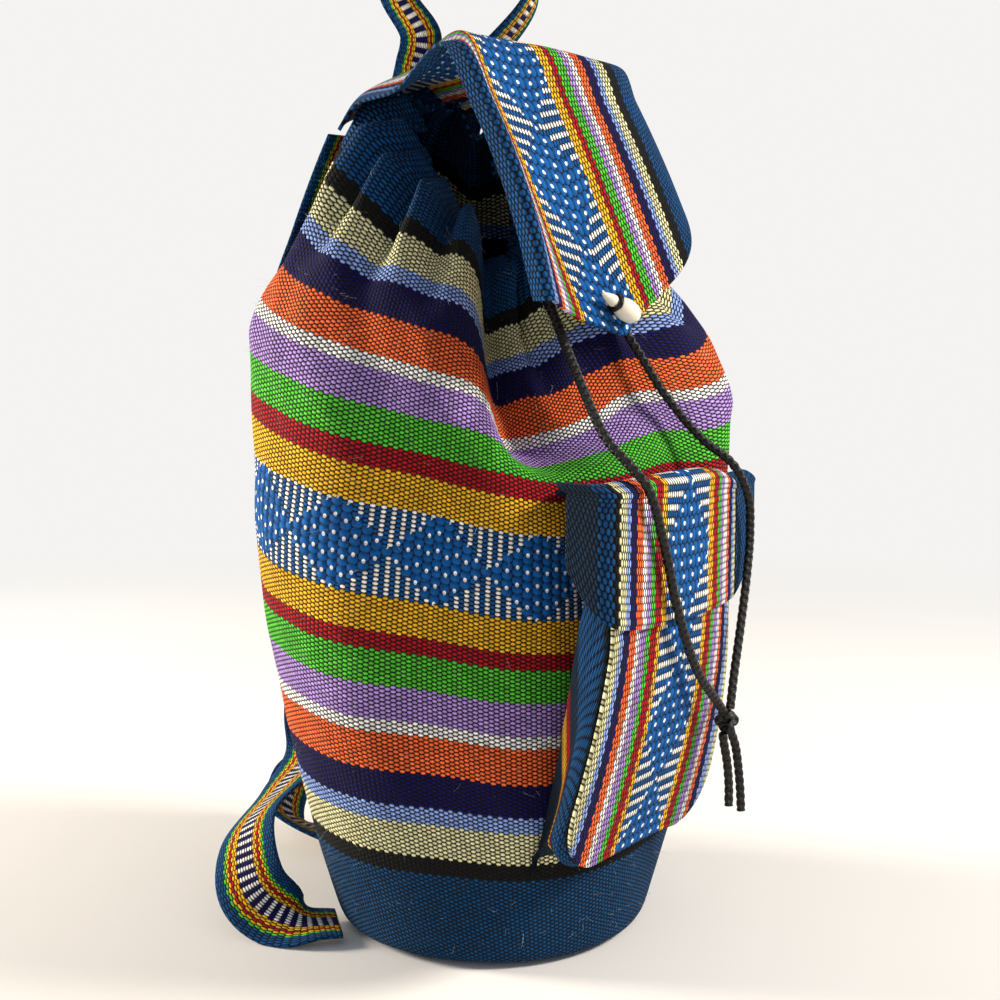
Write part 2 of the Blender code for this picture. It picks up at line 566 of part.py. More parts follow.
# Where the toggle's middle lies on the flap, and the direction from its tail to its end
def toggle_seat():
    s = np.array([TOGGLE_ACROSS - 0.004, TOGGLE_ACROSS, TOGGLE_ACROSS + 0.004])
    rows = flap_surface(s, 61)
    i = int(round(60 - (60 - 60 * 3 / 7) * TOGGLE_UP / FLAP_LENGTH))
    across = rows[i, 2] - rows[i, 0]
    down = rows[i + 1, 1] - rows[i - 1, 1]
    across /= np.linalg.norm(across)
    down /= np.linalg.norm(down)
    normal = np.cross(down, across)
    normal *= -np.sign(normal[1])
    dip = math.radians(TOGGLE_DIP)
    along = across * math.cos(dip) + down * math.sin(dip)
    centre = rows[i, 1] + normal * (FLAP_CLOTH / 2 + TOGGLE_RADIUS + TOGGLE_STAND)
    return centre, along / np.linalg.norm(along)


# The drawstring leaves the mouth's front rim under the flap, crosses to the pocket flap's top
# edge and hangs down its front to one knot, below which its two ends hang free.
CORD_LEFT = [(-0.0145, -0.0285, 0.3510), (-0.0275, -0.0580, 0.3076), (-0.0410, -0.0790, 0.2847),
             (-0.0528, -0.1045, 0.2554), (-0.0516, -0.1150, 0.2455), (-0.0482, -0.1224, 0.2358),
             (-0.0320, -0.1214, 0.2084), (-0.0168, -0.1194, 0.1771), (0.0082, -0.1155, 0.1431),
             (0.0348, -0.1120, 0.1210), (0.0417, -0.1112, 0.1151)]
CORD_RIGHT = [(0.0040, -0.0397, 0.3490), (0.0256, -0.0705, 0.2895), (0.0345, -0.0795, 0.2700),
              (0.0524, -0.0900, 0.2480), (0.0659, -0.1004, 0.2345), (0.0735, -0.1048, 0.2190),
              (0.0790, -0.1034, 0.2000), (0.0781, -0.1030, 0.1818), (0.0697, -0.1045, 0.1545),
              (0.0571, -0.1080, 0.1300), (0.0487, -0.1109, 0.1153)]
KNOT_PLACE = (0.0452, -0.1110, 0.1105)
TAIL_LEFT = [(0.0416, -0.1110, 0.1040), (0.0433, -0.1110, 0.0978), (0.0466, -0.1110, 0.0879),
             (0.0487, -0.1110, 0.0759), (0.0490, -0.1110, 0.0655)]
TAIL_RIGHT = [(0.0484, -0.1110, 0.1053), (0.0545, -0.1110, 0.0950), (0.0575, -0.1110, 0.0851),
              (0.0602, -0.1110, 0.0720), (0.0617, -0.1110, 0.0596)]


def make_drawstring():
    for name, route in (("cord_left", CORD_LEFT), ("cord_right", CORD_RIGHT),
                        ("cord_tail_left", TAIL_LEFT), ("cord_tail_right", TAIL_RIGHT)):
        length = np.linalg.norm(np.diff(np.array(route), axis=0), axis=1).sum()
        cord(name, route, CORD_RADIUS, round(length / CORD_STEP) + 1, cord_colour)
    bpy.ops.mesh.primitive_uv_sphere_add(segments=12, ring_count=8, radius=KNOT_WIDTH / 2, location=KNOT_PLACE)
    knot = bpy.context.object
    knot.name = knot.data.name = "cord_knot"
    knot.scale = (1, 1, KNOT_LENGTH / KNOT_WIDTH)
    knot.data.materials.append(cord_colour)
    collect(knot)


def main():
    make_body()
    make_base()
    make_flap()
    make_pocket_front()
    make_pocket_gusset()
    make_pocket_flap()
    make_strap("shoulder_strap_left", BACK_AT - STRAP_SIDE, 118, LEFT_SLACK)
    make_strap("shoulder_strap_right", BACK_AT + STRAP_SIDE, 200, RIGHT_SLACK)
    make_loop()
    make_toggle()
    make_drawstring()


for old in list(bpy.data.objects):
    bpy.data.objects.remove(old, do_unlink=True)
collection = bpy.data.collections.new("woven_rucksack")
bpy.context.scene.collection.children.link(collection)

body_colour = new_material("striped_cloth", "4f7a3c")
base_colour = new_material("blue_cloth", "0b4a78")
flap_colour = new_material("flap_cloth", "0b4f85")
pocket_colour = new_material("pocket_cloth", "9a1524")
gusset_colour = new_material("gusset_cloth", "14324f")
strap_colour = new_material("strap_webbing", "e8b030")
toggle_colour = new_material("toggle_plastic", "efe9da", 0.35)
cord_colour = new_material("braided_cord", "14120f", 0.7)

outer = body_surface(np.linspace(0, 360, 145)[:-1], np.linspace(0, CLOTH_LENGTH, 90))
body_tree = BVHTree.FromPolygons([tuple(map(float, p)) for p in outer.reshape(-1, 3)],
                                 grid_faces(90, 144, closed=True))
main()
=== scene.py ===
import math

import bpy
import numpy as np
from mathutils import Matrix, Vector
from mathutils.bvhtree import BVHTree


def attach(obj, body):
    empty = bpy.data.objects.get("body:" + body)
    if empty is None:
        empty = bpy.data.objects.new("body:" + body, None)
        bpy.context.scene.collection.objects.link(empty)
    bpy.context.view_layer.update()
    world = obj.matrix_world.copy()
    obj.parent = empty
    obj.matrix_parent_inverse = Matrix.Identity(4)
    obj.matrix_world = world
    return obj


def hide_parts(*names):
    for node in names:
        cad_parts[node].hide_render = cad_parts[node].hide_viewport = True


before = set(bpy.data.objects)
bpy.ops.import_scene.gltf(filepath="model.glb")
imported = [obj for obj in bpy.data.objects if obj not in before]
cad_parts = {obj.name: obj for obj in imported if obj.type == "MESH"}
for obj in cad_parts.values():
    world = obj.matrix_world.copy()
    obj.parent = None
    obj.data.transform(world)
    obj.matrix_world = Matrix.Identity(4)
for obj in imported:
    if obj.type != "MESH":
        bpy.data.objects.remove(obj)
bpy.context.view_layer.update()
scene = bpy.context.scene
scene.view_settings.view_transform = 'Standard'
gap = 0.0003    # between pieces that are sewn or lie together
upwards = np.array([0, 0, 1.0])


# sRGB hex to the linear colour that the shader takes
def linear(hexColour):
    parts = [int(hexColour[k:k + 2], 16) / 255 for k in (1, 3, 5)]
    return (*[c / 12.92 if c <= 0.04045 else ((c + 0.055) / 1.055) ** 2.4 for c in parts], 1)


# Adds a node. An input is a number, a hex colour, a socket, or a node whose first output is meant.
def addNode(tree, kind, inputs=(), **settings):
    made = tree.nodes.new("ShaderNode" + kind)
    for key, value in settings.items():
        setattr(made, key, value)
    for place, value in (inputs.items() if isinstance(inputs, dict) else enumerate(inputs)):
        if isinstance(value, str):
            value = linear(value)
        if isinstance(value, bpy.types.Node):
            value = value.outputs[0]
        if isinstance(value, bpy.types.NodeSocket):
            tree.links.new(value, made.inputs[place])
        else:
            made.inputs[place].default_value = value
    return made


# These add to the node tree that their value is in
def calc(operation, *values):
    tree = next(value.id_data for value in values if hasattr(value, "id_data"))
    return addNode(tree, "Math", values, operation=operation)


def fade(value, start, end, low, high):
    ends = [value, start, end, low, high]
    return addNode(value.id_data, "MapRange", ends, interpolation_type='SMOOTHSTEP')


def mixColours(share, first, second):
    return addNode(share.id_data, "Mix", {0: share, 6: first, 7: second}, data_type='RGBA').outputs[2]


def noise(tree, scale, detail=2.0):
    place = addNode(tree, "TexCoord").outputs["Object"]
    return addNode(tree, "TexNoise", {"Vector": place, "Scale": scale, "Detail": detail})


# Distance of the spot (x, y) from the middle of its cell
def reach(x, y):
    cell = addNode(x.id_data, "CombineXYZ", [x, y, 0.0])
    return addNode(x.id_data, "VectorMath", [cell], operation='LENGTH').outputs["Value"]


# The place on the cloth: x in columns of the weave and y in rows
def clothSpot(tree):
    spot = addNode(tree, "SeparateXYZ", [addNode(tree, "UVMap", uv_map="cloth")])
    return spot.outputs[0], spot.outputs[1]


def addBump(tree, shader, height, distance):
    bump = addNode(tree, "Bump", {"Height": height, "Distance": distance})
    tree.links.new(bump.outputs[0], shader.inputs["Normal"])


def newMaterial(name, **sockets):
    material = bpy.data.materials.new(name)
    material.use_nodes = True
    shader = material.node_tree.nodes["Principled BSDF"]
    for key, value in sockets.items():
        shader.inputs[key.replace("_", " ")].default_value = value
    return material, material.node_tree, shader


# A colour that drifts from one tone to another with a noise of the given scale
def twoTones(tree, shader, scale, first, second):
    tone = mixColours(noise(tree, scale), first, second)
    tree.links.new(tone, shader.inputs["Base Color"])


# Rows and columns of the four corners of each face of a grid
def faceCorners(rows, across):
    i, j = np.meshgrid(np.arange(rows - 1), np.arange(across), indexing="ij")
    i, j = i.ravel(), j.ravel()
    return [(i, j), (i, j + 1), (i + 1, j + 1), (i + 1, j)]


# A grid of points as a mesh. The cloth coordinates go into the UV map: x in columns of the
# weave and y in rows. A closed grid joins its last column to its first.
def gridMesh(name, points, cloth, material, closed=False, capped=False, flip=False):
    rows, columns = points.shape[:2]
    corners = faceCorners(rows, columns if closed else columns - 1)
    if flip:
        corners.reverse()
    faces = np.stack([a * columns + b % columns for a, b in corners], 1)
    width = cloth.shape[1]
    spots = np.stack([a * width + np.minimum(b, width - 1) for a, b in corners], 1)
    faceList = faces.tolist()
    uv = cloth.reshape(-1, 2)[spots.ravel()]
    if capped:
        first, last = list(range(columns)), list(range((rows - 1) * columns, rows * columns))
        ends = [first, last[::-1]] if flip else [first[::-1], last]
        faceList += ends
        for end in ends:
            uv = np.vstack([uv, cloth[np.array(end) // columns, np.array(end) % columns]])
    mesh = bpy.data.meshes.new(name)
    mesh.from_pydata(points.reshape(-1, 3).tolist(), [], faceList)
    layer = mesh.uv_layers.new(name="cloth")
    layer.data.foreach_set("uv", uv.astype(np.float32).ravel())
    mesh.materials.append(material)
    mesh.shade_smooth()
    made = bpy.data.objects.new(name, mesh)
    scene.collection.objects.link(made)
    return made


def clothGrid(columns, rows):
    return np.stack(np.broadcast_arrays(columns, rows), 2)


def thicken(made, thickness, side=0):
    solid = made.modifiers.new("Thickness", 'SOLIDIFY')
    solid.thickness, solid.offset = thickness, side
    return made


def standFor(made, node):
    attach(made, "root")
    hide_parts(node)


def smoothStep(start, end, value):
    t = np.clip((value - start) / (end - start), 0, 1)
    return t * t * (3 - 2 * t)


# Rises over one stretch and falls over another
def riseAndFall(rise, fall, value):
    return smoothStep(*rise, value) * (1 - smoothStep(*fall, value))


def unit(vectors):
    return vectors / np.linalg.norm(vectors, axis=-1, keepdims=True)


# Level direction outwards at an azimuth in degrees
def outwardAt(azimuth):
    turned = np.radians(azimuth)
    return np.stack([-np.sin(turned), -np.cos(turned), 0 * turned], -1)


# Smooth curve through the points: a cubic between each two, with the slope at each point taken
# from its neighbours, paced by the root of the spacing
def smoothLine(points, count, pace=None):
    points = np.asarray(points, float)
    paced = points if pace is None else np.asarray(pace, float)
    steps = np.linalg.norm(np.diff(paced, axis=0), axis=1) ** 0.5
    knots = np.concatenate([[0], np.cumsum(steps)])
    slopes = np.gradient(points, knots, axis=0)
    at = np.linspace(0, knots[-1], count)
    k = np.clip(np.searchsorted(knots, at, side="right") - 1, 0, len(points) - 2)
    h = (knots[k + 1] - knots[k])[:, None]
    t = (at - knots[k])[:, None] / h
    risen = t * t * (3 - 2 * t)
    bent = t * (1 - t) * h * ((1 - t) * slopes[k] - t * slopes[k + 1])
    return (1 - risen) * points[k] + risen * points[k + 1] + bent


def runLength(points):
    return np.concatenate([[0], np.cumsum(np.linalg.norm(np.diff(points, axis=0), axis=1))])


# Camera: at the photograph's viewing angle, solved from the round base, the stripes and the horizon
camera = dict(place=(-0.6006, -0.4735, 0.314), heading=(0.788, 0.6157, 0.0), down=7.34, lens=54.79)
lensData = bpy.data.cameras.new("camera")
lensData.sensor_width, lensData.lens = 36, camera["lens"]
eye = bpy.data.objects.new("camera", lensData)
scene.collection.objects.link(eye)
down = math.radians(camera["down"])
looks = Vector(camera["heading"]).normalized() * math.cos(down) - Vector((0, 0, 1)) * math.sin(down)
eye.location = camera["place"]
eye.rotation_euler = looks.to_track_quat('-Z', 'Y').to_euler()
scene.camera = eye
print("camera set")


# Braided cord of black polyester: two sets of strands cross over and under, which gives the eye
# a fine plait with a dull sheen, partly from the gloss and partly painted: the crowns of the strands
# are painted lighter, a painted glint. The plait's height is the higher of two crossing waves.
braid = dict(radius=0.0022, colour="#040404", paintedGlint="#16130f", strands=4, lay=0.0085, relief=0.1,
             middle=0.6, bump=0.0003)
braidedCord, tree, shader = newMaterial("braided polyester cord", Roughness=0.45, Specular_IOR_Level=0.3)
around, along = clothSpot(tree)
turned = calc('MULTIPLY', around, math.pi * braid["strands"])
run = calc('MULTIPLY', along, math.pi * braid["strands"])
left = calc('SINE', calc('ADD', turned, run))
right = calc('SINE', calc('SUBTRACT', turned, run))
plait = calc('MAXIMUM', left, right)
# painted glint: the crowns of the plait take the lighter colour
glintShare = addNode(tree, "MapRange", [plait, 0.1, 1.0, 0.0, 1.0])
tone = mixColours(glintShare, braid["colour"], braid["paintedGlint"])
tree.links.new(tone, shader.inputs["Base Color"])
addBump(tree, shader, plait, braid["bump"])


# A tube along a path: rings square to the path, with a plait pressed into the radius, as high
# as the higher of two waves that wind opposite ways
def cordTube(name, path, radius, material, sides=20, facing=(0, 1, 0), closed=False):
    along = np.roll(path, -1, 0) - np.roll(path, 1, 0) if closed else np.gradient(path, axis=0)
    along = unit(along)
    side = unit(np.cross(along, np.broadcast_to(np.asarray(facing, float), path.shape)))
    up = np.cross(side, along)
    turn = np.linspace(0, 2 * math.pi, sides + 1)
    run = (runLength(path) / braid["lay"])[:, None]
    wound = turn * braid["strands"] / 2
    phase = run * math.pi * braid["strands"]
    wave = np.maximum(np.sin(wound + phase), np.sin(wound - phase))
    size = radius * (1 + braid["relief"] * (wave - braid["middle"]))
    rings = path[:, None] + size[..., None] * (np.cos(turn)[None, :, None] * side[:, None]
                                              + np.sin(turn)[None, :, None] * up[:, None])
    cloth = clothGrid(turn[None, :] / (2 * math.pi), run)
    if closed:
        rings = np.concatenate([rings, rings[:1]])
        cloth = np.concatenate([cloth, cloth[-1:]])
    return gridMesh(name, rings[:, :-1], cloth, material, closed=True, capped=not closed, flip=True)


# The drawstring: the route points repeat the solids' own, chosen from the photograph
cords = dict(
    cord_left=[(-0.0145, -0.0285, 0.351), (-0.0275, -0.058, 0.3076), (-0.041, -0.079, 0.2847),
               (-0.0528, -0.1045, 0.2554), (-0.0516, -0.115, 0.2455), (-0.0482, -0.1224, 0.2358),
               (-0.032, -0.1214, 0.2084), (-0.0168, -0.1194, 0.1771), (0.0082, -0.1155, 0.1431),
               (0.0348, -0.112, 0.121), (0.0417, -0.1112, 0.1151)],
    cord_right=[(0.004, -0.0397, 0.349), (0.0256, -0.0705, 0.2895), (0.0345, -0.0795, 0.27),
                (0.0524, -0.09, 0.248), (0.0659, -0.1004, 0.2345), (0.0735, -0.1048, 0.219),
                (0.079, -0.1034, 0.2), (0.0781, -0.103, 0.1818), (0.0697, -0.1045, 0.1545),
                (0.0571, -0.108, 0.13), (0.0487, -0.1109, 0.1153)],
    cord_tail_left=[(0.0416, -0.111, 0.104), (0.0433, -0.111, 0.0978), (0.0466, -0.111, 0.0879),
                    (0.0487, -0.111, 0.0759), (0.049, -0.111, 0.0655)],
    cord_tail_right=[(0.0484, -0.111, 0.1053), (0.0545, -0.111, 0.095), (0.0575, -0.111, 0.0851),
                     (0.0602, -0.111, 0.072), (0.0617, -0.111, 0.0596)])
cordPitch = 0.0005    # between the rings of a cord

# The knot is a trefoil, pulled to its own width, depth and length
knot = dict(place=(0.0452, -0.111, 0.11), width=0.0112, length=0.014, strand=0.0021, deepen=2.6,
            facing=(0.13, 1, 0.21))
turn = np.linspace(0, 2 * math.pi, 181)[:-1]
trefoil = np.stack([np.sin(turn) + 2 * np.sin(2 * turn), -np.sin(3 * turn),
                    np.cos(turn) - 2 * np.cos(2 * turn)], 1)
halfWidth, halfLength = knot["width"] / 2 - knot["strand"], knot["length"] / 2 - knot["strand"]
trefoil *= np.array([halfWidth, halfWidth * knot["deepen"], halfLength]) / 3
knotMade = cordTube("drawstring_knot", trefoil + np.array(knot["place"]), knot["strand"], braidedCord,
                    sides=14, facing=knot["facing"], closed=True)
standFor(knotMade, "cord_knot")
for name, lengthStated, farEnd in (("cord_left", 0.309, "knot"), ("cord_right", 0.275, "knot"),
                                   ("cord_tail_left", 0.040, "bare"), ("cord_tail_right", 0.048, "bare")):
    route = cords[name]
    path = smoothLine(route, round(lengthStated / cordPitch))
    made = cordTube("drawstring" + name[4:], path, braid["radius"], braidedCord)
    standFor(made, name)
print("drawstring made")


# Colours of the yarns, read from the lit places of the photograph; shade is no yarn but a painted shade, a
# blue darkened as if in shadow
yarn = dict(blue="#064a80", brocade="#075396", foot="#05426e", navy="#0e054e", orange="#ff6f38",
            white="#fbf9f5", lilac="#b492dc", green="#55c436", red="#b01420", yellow="#f9bc26",
            cream="#e6e2ae", sky="#8fabec", black="#0b0a08", shade="#04263f")
# Pitch of the grains along and across a stripe, how an oval grain fills its cell, how much the
# light varies from grain to grain and from patch to patch, and how dark the painted shade in the gaps is
weave = dict(column=0.0031, row=0.00215, oval=(0.95, 1.28), edge=(0.22, 0.6), light=(0.82, 1.22),
             patch=(0.92, 1.08), patchScale=28.0, gapPaintedShade=0.02, depth=(0.02, 0.55), fibre=0.25,
             fibreScale=900.0, roughness=0.92, relief=0.0008)
# The patterned band: its rows, the bars in a motif, and how much a float puffs up over a grain
band = dict(rows=20, bars=10.0, longest=9.0, puff=1.7, puffEdge=(0.1, 0.66), dot=0.26, dotLong=1.5)


# In the patterned band white bars run in from both sides, as long as 9 grains less two for each
# column away from the middle of the motif, and round the diamonds left between them lie puffed
# blue floats with a white dot after every second one.
def patternedBand(column, row, shifted, middle, colour, grain):
    halfColumn = calc('MULTIPLY', column, 0.5)
    barNumber = calc('FLOOR', halfColumn)
    barPart = calc('FRACT', halfColumn)
    inMotif = calc('FLOORED_MODULO', barNumber, band["bars"])
    away = calc('ABSOLUTE', calc('SUBTRACT', inMotif, band["bars"] / 2))
    bar = calc('MULTIPLY_ADD', away, -2.0, band["longest"])
    fromMiddle = calc('ABSOLUTE', calc('SUBTRACT', shifted, middle))
    fromEdge = calc('SUBTRACT', band["rows"] / 2, fromMiddle)
    inBand = calc('GREATER_THAN', fromEdge, 0.0)
    inBar = calc('LESS_THAN', fromEdge, bar)
    whiteBar = calc('MULTIPLY', inBar, calc('LESS_THAN', barPart, 0.5))
    oddBar = calc('FLOORED_MODULO', barNumber, 2.0)
    floatRow = calc('MULTIPLY', calc('ADD', row, oddBar), 0.5)
    floatPart = calc('SUBTRACT', calc('FRACT', floatRow), 0.5)
    floatAcross = calc('SUBTRACT', barPart, 0.5)
    puff = fade(reach(floatAcross, floatPart), *band["puffEdge"], band["puff"], 0.0)
    # a dot spans the edge between float 1 and float 2 of each pair
    fromEnd = calc('SUBTRACT', calc('ABSOLUTE', floatPart), 0.5)
    dotReach = reach(calc('MULTIPLY', floatAcross, band["dotLong"]), fromEnd)
    second = calc('FLOORED_MODULO', calc('FLOOR', floatRow), 2.0)
    between = calc('COMPARE', second, calc('LESS_THAN', floatPart, 0.0), 0.5)
    dot = calc('MULTIPLY', calc('LESS_THAN', dotReach, band["dot"]), between)
    inDiamond = calc('SUBTRACT', 1.0, inBar)
    white = calc('ADD', whiteBar, calc('MULTIPLY', dot, inDiamond))
    motif = mixColours(white, yarn["brocade"], yarn["white"])
    puffed = calc('MULTIPLY', inDiamond, inBand)
    raised = calc('ADD', puff, calc('MULTIPLY', dot, 0.5))
    height = addNode(column.id_data, "Mix", {0: puffed, 2: grain, 3: raised}, data_type='FLOAT')
    return mixColours(inBand, colour, motif), height.outputs[0]


# Colours of the stripes over the share of the way across them
def stripeRamp(share, stripes, total):
    ramp = addNode(share.id_data, "ValToRGB", [share])
    ramp.color_ramp.interpolation = 'CONSTANT'
    stops = ramp.color_ramp.elements
    start = 0
    for k, (rows, colour) in enumerate(stripes):
        stop = stops[k] if k < 1 else stops.new(min(start / total, 1))
        stop.position = start / total
        stop.color = linear(yarn[colour])
        start += rows
    stops[len(stops) - 1].color = linear(yarn[stripes[-1][1]])
    return ramp.outputs[0]


def countRows(stripes):
    return sum(rows for rows, _ in stripes)


# Heavy hand-woven cotton, balanced warp and weft: rows of oval grains, shifted by half a grain
# from one column to the next, with painted shade darkening the gaps between them, matte and slightly
# fuzzy. A stripe is chosen by the number of the row that a grain is in, so its edges are stepped by
# half a grain.
# A ladder has white rungs on navy, one to every second column.
def wovenCloth(name, stripes, bandAt=None, ladderAt=None, relief=weave["relief"]):
    w = weave
    material, tree, shader = newMaterial(name, Roughness=w["roughness"], Specular_IOR_Level=0.2)
    column, row = clothSpot(tree)
    columnNumber = calc('FLOOR', column)
    odd = calc('FLOORED_MODULO', columnNumber, 2.0)
    shifted = calc('MULTIPLY_ADD', odd, 0.5, row)
    rowNumber = calc('FLOOR', shifted)
    across = calc('SUBTRACT', calc('FRACT', column), 0.5)
    up = calc('SUBTRACT', calc('FRACT', shifted), 0.5)
    wide = calc('MULTIPLY', across, w["oval"][0])
    high = calc('MULTIPLY', up, w["oval"][1])
    height = fade(reach(wide, high), *w["edge"], 1.0, 0.0).outputs[0]
    total = countRows(stripes)
    share = calc('DIVIDE', calc('ADD', rowNumber, 0.5), total)
    colour = stripeRamp(share, stripes, total)
    if bandAt is not None:
        colour, height = patternedBand(column, row, shifted, bandAt, colour, height)
    if ladderAt is not None:
        fromMiddle = calc('ABSOLUTE', calc('SUBTRACT', row, ladderAt[0]))
        rung = calc('LESS_THAN', odd, 0.5)
        rungs = mixColours(rung, yarn["navy"], yarn["white"])
        colour = mixColours(calc('LESS_THAN', fromMiddle, ladderAt[1]), colour, rungs)
    grainPlace = addNode(tree, "CombineXYZ", [columnNumber, rowNumber, 0.0])
    chance = addNode(tree, "TexWhiteNoise", [grainPlace], noise_dimensions='2D')
    grainLight = addNode(tree, "MapRange", [chance.outputs[0], 0.0, 1.0, *w["light"]])
    patchLight = addNode(tree, "MapRange", [noise(tree, w["patchScale"]), 0.3, 0.7, *w["patch"]])
    # painted shade: the colour darkens with the weave's height, near black in the gaps between grains
    depth = addNode(tree, "MapRange", [height, *w["depth"], w["gapPaintedShade"], 1.0])
    shade = calc('MULTIPLY', calc('MULTIPLY', grainLight, patchLight), depth)
    tinted = addNode(tree, "VectorMath", {0: colour, 3: shade}, operation='SCALE')
    tree.links.new(tinted.outputs[0], shader.inputs["Base Color"])
    rough = calc('MULTIPLY_ADD', noise(tree, w["fibreScale"], 1.0), w["fibre"], height)
    addBump(tree, shader, rough, relief)
    return material


# Body. Of a form, the first number is its size, then its azimuth and its spread in degrees, and a
# pair of lengths along the cloth says where it rises or falls.
halfStripes = [(4, "black"), (8, "cream"), (4, "sky"), (8, "navy"), (9, "orange"), (3, "white"), (8, "lilac"),
               (8, "green"), (4.5, "red"), (8, "yellow")]
body = dict(
    cloth=0.0016, length=0.4194, baseRadius=0.076, baseTuck=0.009, tuckLength=0.007,
    halfWidth=0.115, halfDepth=0.104, bellyStart=0.217, bellyPower=1.66, bellyX=0.005, bellyY=0.0214,
    neckStart=0.287, neckPower=1.2, mouthRadius=0.032, mouthX=-0.007, mouthY=0.0074,
    hem=(0.396, 0.41), hemTurn=0.004, hemRise=0.15, hemFlat=0.5,
    sideFlat=(0.015, 64, 21), backFlat=(0.004, 100, 20), corner=(0.031, -49, 19),
    shelf=(0.0226, 13, 31), shelfRise=(0.263, 0.299), shelfFall=(0.36, 0.435),
    crease=0.026, creaseLow=27, creaseHigh=36, creaseTurn=(0.25, 0.35), creaseSpread=13.3, creasePower=2.2,
    creaseRise=(0.239, 0.307), creaseFall=(0.345, 0.4), creaseLoss=0.85,
    bulge=(0.0124, 59, 13), bulgeRise=(0.26, 0.32), bulgeFall=(0.36, 0.42),
    shoulder=(0.014, -45, 26), shoulderRise=(0.27, 0.34), shoulderFall=(0.36, 0.41),
    lean=0.3, leanFrom=30, leanRise=(0.08, 0.36), stretch=0.0133, tilt=0.1, tiltAt=190, steepest=0.06,
    pleats=14, pleatDepth=0.01, firstPleat=62, pleatSpan=316, pleatCrowd=0.94, pleatRise=(0.3, 0.42),
    columns=240, footRows=25.6, perPleat=22, ringCount=130, samples=281)


def bell(azimuth, size, centre, spread):
    turned = (azimuth - centre + 180) % 360 - 180
    return size * np.exp(-(turned / spread) ** 2)


# Pleats crowd round the mouth, and the wide gap between the last and the first is the crease
def pleatPhase(azimuth):
    along = (azimuth - body["firstPleat"]) % 360
    span, count = body["pleatSpan"], body["pleats"] - 1
    crowded = count * (np.clip(along, 0, span) / span) ** (1 / body["pleatCrowd"])
    return np.where(along <= span, crowded, count + (along - span) / (360 - span))


def pleatAzimuth(phase):
    span, count = body["pleatSpan"], body["pleats"] - 1
    crowded = span * (np.clip(phase, 0, count) / count) ** body["pleatCrowd"]
    return body["firstPleat"] + np.where(phase <= count, crowded, span + (phase - count) * (360 - span))


# Outer face of the body cloth at an azimuth and a length of cloth from the base: the radius is
# an ellipse with flats, a corner, a shelf, a crease and pleats, and the height is the running
# sum of what each bit of cloth has left to climb after it has moved in or out.
def bodySurface(azimuths, lengths, crestsOnly=False):
    b = body
    azimuths = np.asarray(azimuths, float)[None, :]
    v = np.linspace(0, b["length"], b["samples"])[:, None]
    leaning = b["lean"] * np.sin(np.radians(azimuths - b["leanFrom"])) * smoothStep(*b["leanRise"], v)
    turned = azimuths - np.degrees(leaning)
    angle = np.radians(turned)
    ellipse = 1 / np.sqrt((np.sin(angle) / b["halfWidth"]) ** 2 + (np.cos(angle) / b["halfDepth"]) ** 2)
    flats = bell(turned, *b["sideFlat"]) + bell(turned, *b["backFlat"])
    belly = ellipse - flats + bell(turned, *b["corner"])
    opened = 1 - np.clip(1 - v / b["bellyStart"], 0, 1) ** b["bellyPower"]
    tucked = b["baseRadius"] - b["baseTuck"] * np.exp(-(v / b["tuckLength"]) ** 2)
    radius = tucked + (belly - b["baseRadius"]) * opened
    gathered = np.clip((v - b["neckStart"]) / (b["length"] - b["neckStart"]), 0, 1) ** b["neckPower"]
    radius = radius + (b["mouthRadius"] - radius) * gathered
    radius = radius - riseAndFall(b["shelfRise"], b["shelfFall"], v) * bell(turned, *b["shelf"])
    creaseAt = b["creaseLow"] + (b["creaseHigh"] - b["creaseLow"]) * smoothStep(*b["creaseTurn"], v)
    creaseLeft = 1 - b["creaseLoss"] * smoothStep(*b["creaseFall"], v)
    offCrease = (turned - creaseAt + 180) % 360 - 180
    crease = b["crease"] * np.exp(-np.abs(offCrease / b["creaseSpread"]) ** b["creasePower"])
    radius = radius - crease * smoothStep(*b["creaseRise"], v) * creaseLeft
    radius = radius + riseAndFall(b["bulgeRise"], b["bulgeFall"], v) * bell(turned, *b["bulge"])
    radius = radius + riseAndFall(b["shoulderRise"], b["shoulderFall"], v) * bell(turned, *b["shoulder"])
    wave = 1 if crestsOnly else np.cos(2 * np.pi * pleatPhase(azimuths))
    hem = smoothStep(*b["hem"], v)
    radius = radius + b["pleatDepth"] * smoothStep(*b["pleatRise"], v) * (1 - b["hemFlat"] * hem) * wave
    radius = radius - b["hemTurn"] * hem
    step = v[1, 0] - v[0, 0]
    climb = np.sqrt(np.clip(1 - np.gradient(radius, step, axis=0) ** 2, b["steepest"], 1))
    climb = climb * (1 + b["stretch"] + b["tilt"] * np.cos(np.radians(turned - b["tiltAt"])))
    climb = climb * (1 - (1 - b["hemRise"]) * hem)
    height = np.vstack([np.zeros_like(azimuths), np.cumsum((climb[1:] + climb[:-1]) / 2 * step, axis=0)])
    centreX = b["bellyX"] * opened * (1 - gathered) + b["mouthX"] * gathered
    centreY = b["bellyY"] * opened * (1 - gathered) + b["mouthY"] * gathered
    points = np.stack([centreX - radius * np.sin(angle), centreY - radius * np.cos(angle), height], 2)
    at = np.clip(np.asarray(lengths, float) / step, 0, len(v) - 1.000001)
    below = at.astype(int)
    part = (at - below)[:, None, None]
    return points[below] * (1 - part) + points[below + 1] * part


# Small soft wrinkles: a sum of waves of different lengths, slanted along the cloth, that fades out
# at the base and grows where the cloth is gathered. A wave has a size, turns round the body, turns
# along the cloth and a start.
wrinkle = dict(waves=[(1, 5, 46, 0.6), (0.7, 9, -61, 2.1), (0.5, 14, 105, 4.0), (0.35, 23, -170, 1.2)],
               low=0.00045, high=0.00055, inset=0.0006, base=(0.02, 0.1), neck=(0.24, 0.33), top=(0.36, 0.4))


